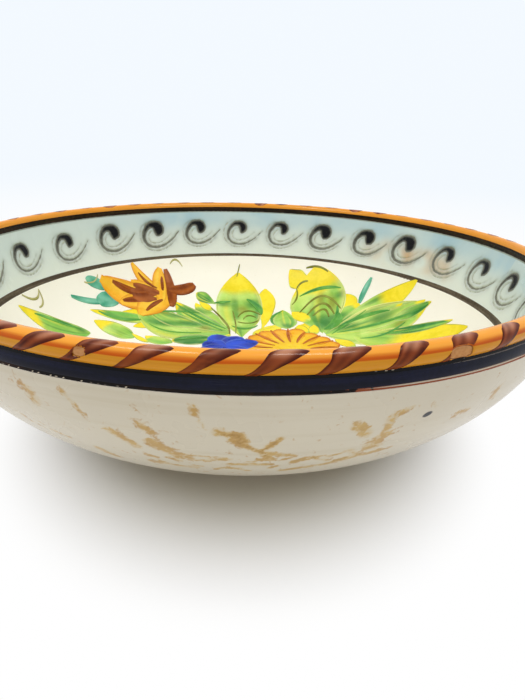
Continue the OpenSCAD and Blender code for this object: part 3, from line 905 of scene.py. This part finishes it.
# How far the hand set each stroke from even spacing: number of the stroke, and distance to the right
STROKE_SPACING = [(31, 0), (33, 6.5), (34, 7.5), (35, 5.2), (36, 0.3), (37, 0.3), (38, -1.2), (39, -0.5),
                  (40, 2.4), (41, 3.2), (42, 2.2), (44, 0)]


def chip_marks(turn, around):
    """1 inside the chips of the rim glaze, down to 0 outside."""
    chip = np.zeros(np.broadcast(turn, around).shape)
    for start, level, half_long, half_high in CHIPS:
        along = turn_from(turn, start)*(ROLL_R + GLAZE_ROLL)
        across = (around - np.radians(level))*GLAZE_ROLL
        chip = np.maximum(chip, 1.25 - (np.abs(along/half_long)**3.5 + np.abs(across/half_high)**3.5))
    return np.clip(chip, 0, 1)


def add_rim_glaze():
    """Glaze over the lip roll, worn away at the chips, whose back has fewer points than its face."""
    low = np.arcsin((NECK_Z - ROLL_Z)/GLAZE_ROLL)
    high = np.pi - np.arcsin((LIP_LINE_TOP_Z - ROLL_Z)/GLAZE_ROLL)
    around = np.linspace(low, high, 40)
    back = around[::-5]
    turn = round_turns(ROLL_TURNS)
    chip = chip_marks(turn, around)
    wave = 0.035*ripple(turn*9, around*2, 41) + 0.02*ripple(turn*60, around*3, 42)
    face_r, face_z = roll_section(around, GLAZE_ROLL + wave - 0.45*ease(chip, 0.1, 0.7))
    back_r, back_z = roll_section(back + 0*turn, CLAY_ROLL - SUNK)
    r = np.hstack([face_r, back_r])
    z = np.hstack([face_z, back_z])
    level = 0.15 + 0.5*np.degrees(np.hstack([around, back]))/90 + 0*turn
    add_revolved("rim_glaze", r, z, ROLL_TURNS, "rim_orange", rim_material(),
                 around=level, chip=np.hstack([chip, chip[:, ::-5]]))


def rope_stroke(number, vary):
    """Grid of one stroke: share along, place across, turn round the bowl and angle round the roll."""
    t, s = np.meshgrid(np.linspace(0, 1, 34), np.linspace(-1, 1, 19), indexing="ij")
    even = 2*np.pi*number/STROKE_COUNT
    far = max(np.sin(even), 0)
    # On the far side some strokes reach well over the crest
    over = 34*far if vary[2] > 0.3 else 7*far
    low = np.radians(STROKE_LOW)
    top = np.radians(STROKE_TOP + over + 6*vary[0] - 10*np.maximum(s, 0) - 20*np.abs(s)**3)
    middle = (11.2 - 6*np.cos(even) + vary[1])*t**0.9
    half = np.interp(t, [0, 0.2, 0.45, 0.7, 0.88, 1.0], [1.9, 2.3, 3.0, 4.2, 5.0, 4.6])
    half = half*(1 + 0.10*vary[3]) + 2.6*max(np.cos(even), 0)*(1 - t)
    edge = 0.3*ripple(t*9, 3*np.sign(s), 60 + number)*np.abs(s)
    arc = middle + (half + edge)*s + np.interp(number, *np.array(STROKE_SPACING, float).T)
    turn = even + STROKE_TURN + arc/(ROLL_R + GLAZE_ROLL) + 0.010*vary[4]
    return t, s, turn, low + (top - low)*t


def rope_paint(t, s, seed):
    """Brown of a stroke: dark edges, a pale crest that is a painted highlight of the glaze, and a thin lower
    end.
    """
    dark, brown, dull, thin = tint(74, 20, 6), tint(146, 70, 34), tint(200, 144, 112), tint(178, 90, 26)
    wide = np.abs(s)
    rub_and_glint = np.clip(0.66 + 0.6*ripple(t*3, s*4, seed), 0, 1)
    paint = between(dark, brown, rub_and_glint*ease(wide, 1.0, 0.5)*ease(t, 0.1, 0.4))
    # Painted highlight: the pale dull colour up the stroke's crest stands for the glaze's glint
    paint = between(paint, dull, 0.8*rub_and_glint*ease(t, 0.5, 0.75)*ease(wide, 0.85, 0.3))
    return between(paint, thin, 0.6*rub_and_glint*ease(t, 0.5, 0.15)*ease(wide, 1.0, 0.7))


def add_rim_strokes():
    """Oblique strokes that climb from the black line to the crest, fuller towards their upper end."""
    rng = np.random.default_rng(50)
    coat = Coat()
    for number in range(STROKE_COUNT):
        t, s, turn, around = rope_stroke(number, rng.uniform(-1, 1, 6))
        crown = 0.05 + 0.13*(1 - np.abs(s)**4)*ease(t, 1.0, 0.72)
        sunk = 0.8*ease(chip_marks(turn, around), 0.05, 0.3)
        upper = roll_point(turn, around, GLAZE_ROLL + crown - sunk)
        under = roll_point(turn, around, GLAZE_ROLL - 0.12 - sunk)
        coat.lay(upper, under, rope_paint(t, s, 200 + number))
    coat.piece("rim_strokes", "rim_brown", stroke_material())


# Brush strokes of the spray

def ribbon(path, half, across):
    """Grid over a band along a path in plan: x, y, share along and place across from -1 to 1."""
    slope = np.gradient(path, axis=0)
    slope = slope/np.linalg.norm(slope, axis=1, keepdims=True)
    normal = np.column_stack([-slope[:, 1], slope[:, 0]])
    s = np.linspace(-1, 1, across)
    grid = path[:, None, :] + normal[:, None, :]*half[:, None, None]*s[None, :, None]
    t = np.linspace(0, 1, len(path))[:, None]
    return grid[..., 0], grid[..., 1], t + 0*s, s + 0*t


def bowed(start, end, bow, steps):
    """Path from one place to another, bowed sideways."""
    start, end = np.array(start, float), np.array(end, float)
    t = np.linspace(0, 1, steps)[:, None]
    run = end - start
    side = np.array([-run[1], run[0]])/np.linalg.norm(run)
    return start + run*t + side*bow*4*t*(1 - t)


def stroke(start, end, width, bow, seed, across, blunt=0.35):
    """Brush stroke: thin where it starts and ends, fuller in the middle."""
    length = np.hypot(end[0] - start[0], end[1] - start[1])
    steps = max(8, int(length/BRUSH_STEP))
    t = np.linspace(0, 1, steps)
    body = np.sin(np.pi*np.clip(t, 0.02, 0.98))**blunt
    half = width/2*body*(1 + 0.12*ripple(t*7, 0*t, seed)) + 0.05
    return ribbon(bowed(start, end, bow, steps), half, across)


def club(start, end, width):
    """Petal that widens from its foot to a round end."""
    t = np.linspace(0, 1, 26)
    body = 0.4 + 0.6*ease(t, 0, 0.7)
    round_end = np.sqrt(np.clip(1 - (np.maximum(t - 0.74, 0)/0.262)**2, 0, 1))
    return ribbon(bowed(start, end, 0, len(t)), width/2*body*round_end, 11)


def heading(degrees):
    return np.array([np.cos(np.radians(degrees)), np.sin(np.radians(degrees))])


def dryness(patch, least, reach, along, across, seed):
    """How dry the brush was at each place of a patch, from 0 to 1."""
    return np.clip(least + reach*ripple(patch[2]*along, patch[3]*across, seed), 0, 1)


def lay_strokes(coat, rows, seed, across, lift, step, wet, dry):
    """Lays the strokes of a list one above another, each from a wet colour to a dry one."""
    for number, row in enumerate(rows):
        patch = stroke(*row, seed + number, across)
        share = dryness(patch, 0.4, 0.6, 6, 3, seed + 10 + number)
        coat.on_well(patch, lift + step*number, between(wet, dry, share))


# Leaves

class Leaf:
    """One leaf of the spray: base, heading in degrees, length, width, yellow share, bend, darkness, seed
    and the share of its length where it is widest."""

    def __init__(self, x, y, turn, length, width, yellow, bend, dark, seed, full=0.44):
        self.start = np.array([x, y], float)
        self.along = heading(turn)
        self.side = np.array([-self.along[1], self.along[0]])
        self.length, self.width, self.yellow = length, width, yellow
        self.bend, self.dark, self.seed = bend, dark, seed
        self.swell = np.log(0.5)/np.log(full)

    def half(self, t):
        body = np.sin(np.pi*np.clip(t, 0.004, 0.996)**self.swell)**0.72
        return self.width/2*body*(1 + 0.09*ripple(t*8, 0*t, self.seed)) + 0.08

    def at(self, t, s):
        """Place in plan of a share along the leaf and a share of its half width."""
        off = self.bend*4*t*(1 - t) + self.half(t)*s
        return self.start + self.along*(self.length*t)[..., None] + self.side*off[..., None]

    def patch(self, first=0.0):
        """Grid over the leaf from a share of its length to its tip."""
        steps = max(10, int((1 - first)*self.length/BRUSH_STEP))
        t, s = np.meshgrid(np.linspace(first, 1, steps), np.linspace(-1, 1, LEAF_ACROSS), indexing="ij")
        xy = self.at(t, s)
        return xy[..., 0], xy[..., 1], t, s

    def line(self, t, s, width):
        """Thin ribbon along places on the leaf."""
        path = self.at(t, s)
        u = np.linspace(0, 1, len(path))
        half = width/2*(0.35 + 0.65*np.sin(np.pi*u)**0.5)*(1 + 0.25*ripple(u*9, 0*u, self.seed + 3))
        return ribbon(path, half, 5)


FAR_LEAVES = [Leaf(*row) for row in (
    (6, 42, 56, 32, 15, 0.9, 0, 0.1, 43), (36, 46, 72, 26, 15, 0.5, 0, 0.4, 44),
    (-12, 55, 124, 46, 16, 0.06, 0, 0.5, 45), (9, 52, 85, 60, 14, 0.95, -2.5, 0.1, 1, 0.76),
    (-2.7, 42, 93, 82, 37, 0.18, 0, 0.35, 2, 0.64), (12, 48, 62, 18, 9, 0.95, 0, 0.1, 34),
    (40, 52, 100, 16, 9, 0.95, 0, 0.1, 35), (-12, 42, 112, 20, 9, 0.9, 0, 0.1, 36),
    (-25, 87, 140, 13, 6, 0.9, 0, 0.1, 4), (-23, 95, 152, 17, 10, 0.03, 0, 0.9, 5, 0.62),
    (-58, 80, 213, 32, 9, 0.85, 1, 0.1, 21), (-60, 65, 199, 45, 10, 0.2, -1, 0.6, 3),
    (-60, 62, 217, 19, 8, 0.9, 0, 0.1, 22), (-11, 50, 163, 68, 40, 0.06, 3, 0.4, 23, 0.45),
    (-12, 53, 137, 54, 20, 0.05, 2, 0.6, 24, 0.5), (-22, 40, 192, 27, 18, 0.04, 0, 1.0, 8),
    (-72, 36, 166, 27, 16, 0.3, -2, 0.25, 6), (-47, 31, 152, 21, 12, 0.18, 1, 0.3, 7),
    (-62, 31, 140, 16, 4, 0.95, 0, 0.1, 25), (-97, 28, 208, 38, 16, 0.25, 2, 0.5, 9),
    (28, 61, 93, 28, 17, 0.03, 0, 0.6, 10), (70, 64, 85, 28, 13, 0.9, -2, 0.1, 42, 0.7),
    (47, 110, 137, 19, 13, 0.98, 2, 0.1, 41), (54, 52, 46, 38, 26, 0.1, 0, 0.5, 32, 0.5),
    (52, 53, 89, 67, 41, 0.27, 0, 0.3, 11, 0.62), (45, 72, 130, 18, 11, 0.95, 0, 0.1, 26),
    (46, 51, 84, 15, 8, 0.95, 0, 0.1, 27), (62, 60, 8, 55, 22, 0.4, 4, 0.3, 12, 0.5),
    (54, 50, 356, 64, 42, 0.06, 3, 0.4, 13, 0.5), (62, 58, 2, 44, 13, 0.06, 2, 0.6, 31),
    (66, 55, 354, 52, 16, 0.06, 2, 0.45, 30), (-30, 62, 158, 46, 16, 0.1, 2, 0.55, 33),
    (98, 51, 344, 23, 10, 0.05, 0, 1.0, 28), (70, 29, 130, 17, 9, 0.95, 0, 0.1, 14),
    (72, 44, 322, 70, 24, 0.68, 2, 0.3, 15), (86, 42, 327, 46, 8, 0.02, 2, 1.0, 29))]
NEAR_LEAVES = [Leaf(*row) for row in (
    (20, 2, 294, 64, 28, 0.1, 0, 0.7, 46), (-8, 8, 230, 58, 26, 0.05, 0, 0.7, 47),
    (44, 8, 320, 58, 26, 0.1, 0, 0.7, 48), (6, 6, 270, 56, 26, 0.05, 0, 0.8, 49),
    (-24, 14, 206, 50, 22, 0.1, 0, 0.7, 50), (-14, -2, 244, 74, 26, 0.12, -3, 0.6, 37),
    (-22, 2, 214, 88, 40, 0.2, 3, 0.35, 16), (-26, 8, 198, 80, 15, 0.9, 2, 0.1, 38),
    (-30, 16, 184, 78, 26, 0.2, 2, 0.4, 20), (14, -4, 280, 82, 16, 0.92, 2, 0.1, 39),
    (2, -4, 262, 100, 40, 0.2, -2, 0.35, 17, 0.5), (56, 8, 352, 60, 15, 0.9, -2, 0.1, 40),
    (50, 2, 336, 74, 28, 0.2, -2, 0.5, 19), (32, -6, 306, 92, 42, 0.33, 3, 0.4, 18, 0.42))]

LIGHT = tint(202, 232, 110)
GREEN = tint(126, 196, 84)
DEEP = tint(58, 134, 66)
PALE = tint(214, 242, 132)
LIME = tint(236, 236, 96)
OLIVE = tint(146, 142, 50)
YELLOW = tint(252, 230, 44)
GOLD = tint(240, 190, 24)
CREAM = tint(238, 242, 192)
SAP = tint(134, 122, 46)

# Dabs of colour on the leaves: place in plan and half sizes
DARK_DABS = [(-18, 96, 7, 3), (5, 97, 6, 5), (8.5, 86, 3, 10), (60, 68, 9, 10), (-38, 66, 12, 4),
             (-58, 62, 12, 4), (-40, 84, 14, 4), (-50, 74, 9, 3), (54, 67, 6, 10), (-36, 37, 12, 6),
             (70, 93, 5, 3), (92, 57, 9, 6), (70, 58, 9, 5), (112, 45, 5, 3), (66, 73, 6, 3),
             (-112, 27, 5, 4), (-102, 27, 4, 3), (-85, 55, 10, 2.5), (29, 66, 4, 4), (-36, -20, 12, 4),
             (0, -52, 5, 14), (62, -44, 7, 9)]
PALE_DABS = [(-45, 56, 14, 5), (-6, 105, 14, 4), (-5, 70, 6, 7), (52, 101, 11, 4), (85, 45, 12, 5),
             (92, 58, 8, 5), (100, 52, 8, 3), (76, 62, 6, 4), (102, 62, 8, 4), (80, 72, 9, 3),
             (-90, 38, 7, 5), (-22, 92, 4, 8), (45, 92, 5, 6), (-60, -30, 10, 6), (6, -80, 6, 9)]
OLIVE_DABS = [(-3, 90, 4, 5), (-28, 59, 4, 4), (55, 95, 3, 7), (63, 88, 3, 7), (-60, 76, 5, 3),
              (101, 43, 4, 3), (50, -36, 5, 6)]

# Dark strokes over the washes: start, end, width, bow
VEINS = [((-24, 96), (-12, 99), 2.2, 0), ((0, 102), (11, 84), 5, 3), ((-10, 64), (8, 66), 2.4, -6),
         ((54, 58), (66, 76), 7, -3), ((40, 101), (70, 98), 2.4, 4), ((62, 52), (113, 46), 2.6, 3),
         ((64, 60), (98, 60), 4, 5), ((66, 84), (58, 62), 3, 2), ((20, 68), (27, 88), 2.0, 5),
         ((75, 40), (104, 42), 2.2, -3), ((58, 50), (84, 70), 1.6, 2), ((-124, 15), (-102, 27), 2.4, 2),
         ((-98, 53), (-72, 61), 3, -2), ((-70, 70), (-34, 82), 1.6, 3), ((-66, 58), (-30, 50), 1.4, -4),
         ((-46, 36), (-26, 42), 3, 1), ((-52, 88), (-14, 58), 2.2, 2), ((-46, 80), (-16, 54), 1.6, 2)]

# Thin drawn lines on the leaves and beside them, which are faint below a width
FAINT = 0.65
SKETCHES = [((-6, 80), (10, 84), 1.2, 7), ((-2, 77), (7, 80), 1.1, 4), ((-6, 72), (9, 76), 1.1, -4),
            ((-10, 88), (-7, 50), 0.9, 1), ((44, 80), (63, 76), 1.8, 12), ((48, 78), (59, 74), 1.6, 8),
            ((39, 84), (68, 80), 1.6, 15), ((47, 112), (38, 108), 1.2, -2), ((38, 108), (34, 94), 1.2, 2),
            ((46, 121), (62, 113), 1.0, 2), ((-26, 90), (-11, 48), 1.4, 4),
            ((-132, 20), (-128, 35), 0.6, -3), ((-128, 35), (-124, 23), 0.6, 2),
            ((-8, 121), (-6, 129), 0.7, 0),
            ((-59, 117), (-50, 119), 0.5, 3), ((-91, 104), (-84, 110), 0.6, 1),
            ((-104, 80), (-110, 68), 0.6, 2)]


def dabbed(paint, x, y, colour, dabs, weight):
    """Colours with soft dabs of another laid on them."""
    for place_x, place_y, half_x, half_y in dabs:
        away = ((x - place_x)/half_x)**2 + ((y - place_y)/half_y)**2
        paint = between(paint, colour, weight*np.exp(-away**1.5))
    return paint


def leaf_wash(leaf, x, y, t, s):
    """Green of a leaf: brushed streaks, soft dabs, and an edge that is yellow or pale in stretches."""
    streak = ripple(t*4.5, s*3.2, leaf.seed + 70)
    paint = between(LIGHT, GREEN, 0.42 + 0.5*streak + 0.5*(leaf.dark - 0.3))
    paint = between(paint, DEEP, ease(leaf.dark + 0.4*ripple(t*5, s*4, leaf.seed + 80), 0.6, 1.2))
    paint = between(paint, DEEP, 0.6*ease(ripple(t*2.5, s*8, leaf.seed + 75), 0.2, 0.9))
    paint = between(paint, LIME, 0.6*ease(ripple(t*3, s*9, leaf.seed + 85), 0.3, 0.9))
    paint = dabbed(paint, x, y, PALE, PALE_DABS, 0.75)
    paint = dabbed(paint, x, y, DEEP, DARK_DABS, 0.8)
    paint = dabbed(paint, x, y, OLIVE, OLIVE_DABS, 0.7)
    rim = ease(np.abs(s), 0.78, 0.98)*np.clip(0.3 + ripple(t*4, np.sign(s)*2, leaf.seed + 90), 0, 1)
    paint = between(paint, YELLOW, 0.6*rim)
    ragged = np.abs(s) + 0.08*ripple(t*14, np.sign(s)*3, leaf.seed + 97)
    return between(paint, CREAM, 0.5*ease(ragged, 0.76, 1.04))


def tip_wash(leaf, x, y, t, s):
    """Yellow of a leaf's end, which runs into its green."""
    reach = t + 0.05*ripple(s*3, t*3, leaf.seed + 95)
    fade = ease(reach, 1 - leaf.yellow - 0.05, 1 - 0.78*leaf.yellow)
    paint = between(leaf_wash(leaf, x, y, t, s), YELLOW, fade)
    worn = 0.7*ease(np.abs(s), 0.5, 1.0)*np.clip(ripple(t*6, s*2, leaf.seed), 0, 1)
    return between(paint, GOLD, fade*worn)


def near_strokes():
    """Long seeded strokes on the large near leaves that are mostly green."""
    rng = np.random.default_rng(900)
    for leaf in NEAR_LEAVES:
        if leaf.length > 70 and leaf.yellow < 0.5:
            for s in (-0.55, -0.2, 0.15, 0.5):
                first, last = rng.uniform(0.22, 0.4), rng.uniform(0.6, 0.84)
                t = np.linspace(first, last, int((last - first)*leaf.length/BRUSH_STEP))
                yield leaf.line(t, s + rng.uniform(-0.1, 0.1)*(1 - t), rng.uniform(1.0, 2.8))


def lay_outline(lines, leaf, lift):
    """Thin broken line along each side of a leaf, shorter on some sides."""
    for side in (-1, 1):
        first, last = (0.1, 0.98) if (leaf.seed + side) % 3 else (0.35, 0.85)
        t = np.linspace(first, last, max(12, int(leaf.length*0.9)))
        patch = leaf.line(t, side*0.94, 0.45)
        faint = 0.58 + 0.5*ripple(patch[2]*6, 0*patch[3], leaf.seed + 110 + 7*side)
        lines.on_well(patch, lift, between(SAP, LIGHT, faint))


def lay_vein(veins, patch, least, seed):
    """Dark stroke that pales towards its sides."""
    edge = 0.75*ease(np.abs(patch[3]), 0.4, 1.0)
    dry = np.maximum(dryness(patch, least, 0.5, 7, 2.5, seed), edge)
    veins.on_well(patch, VEIN_LIFT, between(DEEP, GREEN, dry))


def lay_sketch(lines, row, number):
    """Thin drawn line, in a paler brown where it is narrow."""
    ink, worn = tint(116, 116, 40), tint(160, 172, 80)
    if row[2] < FAINT:
        ink, worn = tint(178, 172, 108), tint(210, 206, 154)
    patch = stroke(*row, 680 + number, 5)
    lines.on_well(patch, SKETCH_LIFT, between(ink, worn, dryness(patch, 0.3, 0.5, 9, 1, 690 + number)))


def add_leaves():
    greens, tips, veins, lines = Coat(), Coat(), Coat(), Coat()
    for number, leaf in enumerate(FAR_LEAVES + NEAR_LEAVES):
        lift = LEAF_LIFT + LAYER*number
        patch = leaf.patch()
        greens.on_well(patch, lift, leaf_wash(leaf, *patch))
        patch = leaf.patch(max(1 - leaf.yellow - 0.12, 0))
        tips.on_well(patch, lift + THIN_LAYER, tip_wash(leaf, *patch))
        lay_outline(lines, leaf, lift + STROKE_LAYER)
    for number, patch in enumerate(near_strokes()):
        lay_vein(veins, patch, 0.4, 720 + number)
    for number, row in enumerate(VEINS):
        lay_vein(veins, stroke(*row, 600 + number, 7, 0.6), 0.3, 640 + number)
    for number, row in enumerate(SKETCHES):
        lay_sketch(lines, row, number)
    greens.piece("leaf_green", "paint_green", paint_material("leaf_green_wash"))
    tips.piece("leaf_tips", "paint_yellow", paint_material("leaf_yellow_wash"))
    veins.piece("leaf_veins", "paint_dark_green", line_material("leaf_dark_strokes"))
    lines.piece("leaf_outlines", "line_brown", line_material("leaf_brown_lines"))


# Flowers

# Lily: start, end, width and bow of its petals, its calyx and the brown strokes on it
LILY_PETALS = [((-62, 95), (-85, 103), 8, 2), ((-60, 94), (-84, 91), 12, 1), ((-60, 90), (-102, 79), 21, 4),
               ((-60, 87), (-87, 70), 14, -2), ((-55, 93), (-73, 66), 16, -3),
               ((-61, 86), (-66, 111), 10, 1)]
CALYX = [((-62, 112), (-54, 84), 7, 2), ((-58, 99), (-40, 109), 8, -2)]
LILY_STROKES = [((-66, 91), (-95, 83), 6, 2), ((-65, 87), (-86, 73), 5, -1), ((-64, 93), (-82, 90), 6, 0),
                ((-67, 86), (-81, 81), 8, 0), ((-66, 96), (-80, 100), 2, 1), ((-62, 96), (-64, 106), 2.4, 0),
                ((-61, 88), (-70, 72), 3, -1), ((-68, 94), (-94, 84), 1.2, 4)]

# Middles of the two round flowers, counts of parts, and heading in degrees and reach of each blue petal
BLOSSOM = np.array([29, 23])
BLOSSOM_PETALS = 18
HEART_DABS = 7
BLUE = np.array([-13, 26])
BLUE_PETALS = [(112, 21), (62, 19), (22, 22), (160, 15), (215, 18), (265, 20), (315, 18)]

# Sprigs: start, end, width and bow of each stroke
SPRIGS = [((-114, 51), (-95, 66), 4, -1), ((-99, 60), (-89, 74), 10, 1), ((-109, 70), (-97, 76), 7, 1),
          ((81, 79), (91, 93), 4, 1), ((-48, -64), (-72, -103), 4, 2), ((-53, -72), (-68, -76), 6, 1),
          ((-57, -80), (-53, -95), 6, 1), ((-63, -87), (-79, -90), 6, 1)]


def add_lily():
    petals, strokes = Coat(), Coat()
    for number, row in enumerate(LILY_PETALS):
        patch = stroke(*row, 300 + number, 13, 0.5)
        t, s = patch[2:]
        paint = between(tint(254, 184, 44), tint(255, 212, 72), 0.35 + 0.6*ripple(t*4, s*4, 310 + number))
        paint = between(paint, tint(220, 134, 28), 0.8*ease(np.abs(s), 0.65, 1.0))
        petals.on_well(patch, PETAL_LIFT + LAYER*number, paint)
    lay_strokes(strokes, LILY_STROKES + CALYX, seed=330, across=9, lift=LILY_STROKE_LIFT, step=STROKE_LAYER,
                wet=tint(126, 56, 12), dry=tint(176, 94, 34))
    petals.piece("lily_petals", "paint_orange", paint_material("lily_orange_wash"))
    strokes.piece("lily_strokes", "paint_brown", line_material("lily_brown_strokes"))


def add_blossom():
    """Ruffled flower of overlapping petals, with a brown stroke between each two and a yellow heart."""
    gold, orange, amber = tint(255, 208, 46), tint(254, 184, 34), tint(212, 114, 10)
    brown, yellow = tint(168, 80, 16), tint(255, 218, 50)
    petals, strokes, heart = Coat(), Coat(), Coat()
    rng = np.random.default_rng(18)
    step = 360/BLOSSOM_PETALS
    for number in range(BLOSSOM_PETALS):
        way = heading(step*number)
        reach = 31 + 5*way[1] + 2*rng.uniform(-1, 1)
        patch = club(BLOSSOM + 4.5*way, BLOSSOM + reach*way, 12.5)
        t, s = patch[2:]
        edge = 0.85*ease(np.abs(s), 0.5, 1.0)*ease(t, 0.2, 0.7) + 0.9*ease(t, 0.84, 1.0)
        paint = between(gold, orange, ease(t + 0.25*ripple(t*5, s*3, 410 + number), 0.35, 0.8))
        petals.on_well(patch, PETAL_LIFT + THIN_LAYER*number, between(paint, amber, edge))
        way = heading(step*(number + 0.5))
        patch = stroke(BLOSSOM + 12*way, BLOSSOM + (reach - 1)*way, 2.0, 0.8, 430 + number, 5)
        dry = dryness(patch, 0.4, 0.6, 6, 2, 440 + number)
        strokes.on_well(patch, BLOSSOM_STROKE_LIFT, between(brown, amber, dry))
    for number in range(HEART_DABS):
        end = BLOSSOM + 9*heading(360*number/HEART_DABS)
        patch = stroke(BLOSSOM, end, 8, 0, 460 + number, 7, 0.6)
        paint = between(yellow, orange, 0.5*ease(np.abs(patch[3]), 0.5, 1.0))
        heart.on_well(patch, HEART_LIFT + THIN_LAYER*number, paint)
    petals.piece("blossom_petals", "paint_orange", paint_material("blossom_orange_wash"))
    strokes.piece("blossom_strokes", "paint_brown", line_material("blossom_brown_strokes"))
    heart.piece("blossom_heart", "paint_yellow", paint_material("blossom_yellow_heart"))


def add_blue_flower():
    petals = Coat()
    for number, (turn, reach) in enumerate(BLUE_PETALS):
        patch = stroke(BLUE, BLUE + reach*heading(turn), 16, 0, 360 + number, 11, 0.5)
        t, s = patch[2:]
        paint = between(tint(14, 76, 222), tint(4, 34, 156), 0.5 + 0.7*ripple(t*4, s*4, 370 + number))
        pale = 0.4*ease(np.abs(s), 0.86, 1.0) + 0.2*ease(t, 0.9, 1.0)
        petals.on_well(patch, BLUE_LIFT + STROKE_LAYER*number, between(paint, tint(120, 160, 240), pale))
    petals.piece("blue_petals", "paint_blue", paint_material("blue_wash"))


def add_sprigs():
    sprigs = Coat()
    lay_strokes(sprigs, SPRIGS, seed=380, across=7, lift=SPRIG_LIFT, step=SPRIG_LAYER,
                wet=tint(66, 160, 130), dry=tint(140, 210, 186))
    sprigs.piece("teal_sprigs", "paint_teal", line_material("teal_strokes"))


# Stage

def add_world():
    """Soft light from all round, behind which the camera sees a pale backdrop."""
    world = bpy.data.worlds.new("studio")
    bpy.context.scene.world = world
    world.use_nodes = True
    nodes = Nodes(world.node_tree)
    fill = nodes.tree.nodes["Background"]
    nodes.put(fill.inputs["Color"], np.array([1.0, 0.98, 0.95]))
    nodes.put(fill.inputs["Strength"], 0.46)
    seen = nodes.add("ShaderNodeBackground", {"Color": BACKDROP})
    nodes.mix_shaders(nodes.direct_view(), fill, seen, "World Output")


def add_floor():
    """White floor that takes the shadow near the bowl and glows into the backdrop farther off. Near the bowl
    the glow is painted light that lightens the outer shadow, more so to the sides.
    """
    bpy.ops.mesh.primitive_circle_add(vertices=96, radius=4, fill_type="NGON", location=(0, 0, -FLOOR_LOW))
    floor = bpy.context.object
    floor.name = "studio_floor"
    s = Shade("floor_white", gloss=0.0)
    s.put(s.shader.inputs["Roughness"], 0.9)
    s.put(s.shader.inputs["Base Color"], np.array([0.88, 0.86, 0.77]))
    # Painted light: the glow starts close to the bowl and reaches farther to the sides, cutting the shadow
    # short
    far = s.length(s.stretch(1.28, 1, 1))
    glow = s.add("ShaderNodeEmission", {"Color": s.blend(s.level(far, 0.2, 1.6), np.ones(3), BACKDROP)})
    share = s.times(s.direct_view(), s.level(far, 0.095, 0.172))
    s.mix_shaders(share, s.shader, glow, "Material Output")
    floor.data.materials.append(s.material)


def add_lamps():
    for name, place in LAMPS:
        lamp = bpy.data.lights.new(name, "AREA")
        lamp.shape = "RECTANGLE"
        lamp.size, lamp.size_y = LAMP_SIZE
        lamp.energy = LAMP_POWER
        lamp.color = (1.0, 0.985, 0.96)
        box = bpy.data.objects.new(name, lamp)
        box.location = place
        box.rotation_euler = (-Vector(place)).to_track_quat("-Z", "Y").to_euler()
        bpy.context.scene.collection.objects.link(box)


def add_camera():
    camera = bpy.data.cameras.new("camera")
    camera.lens = CAMERA_LENS
    camera.sensor_width = 36
    camera.clip_start = 0.01
    pitch, yaw, roll = np.radians(CAMERA_PITCH_YAW_ROLL)
    ahead = Vector((np.sin(yaw)*np.cos(pitch), np.cos(yaw)*np.cos(pitch), -np.sin(pitch)))
    right = ahead.cross(Vector((0, 0, 1))).normalized()
    up = right.cross(ahead)
    tilted = right*np.cos(roll) + up*np.sin(roll)
    upright = up*np.cos(roll) - right*np.sin(roll)
    turn = Matrix((tilted, upright, -ahead)).transposed()
    view = bpy.data.objects.new("camera", camera)
    view.matrix_world = Matrix.Translation(CAMERA_PLACE) @ turn.to_4x4()
    bpy.context.scene.collection.objects.link(view)
    bpy.context.scene.camera = view


def main():
    bpy.context.scene.view_settings.view_transform = "Standard"
    add_world()
    add_floor()
    add_lamps()
    add_camera()
    add_clay()
    add_outer_slip()
    add_well_slip()
    add_border()
    add_lip_line()
    add_foot_line()
    add_upper_line()
    add_navy_band()
    add_lower_line()
    add_rim_glaze()
    add_rim_strokes()
    add_leaves()
    add_lily()
    add_blossom()
    add_blue_flower()
    add_sprigs()


main()
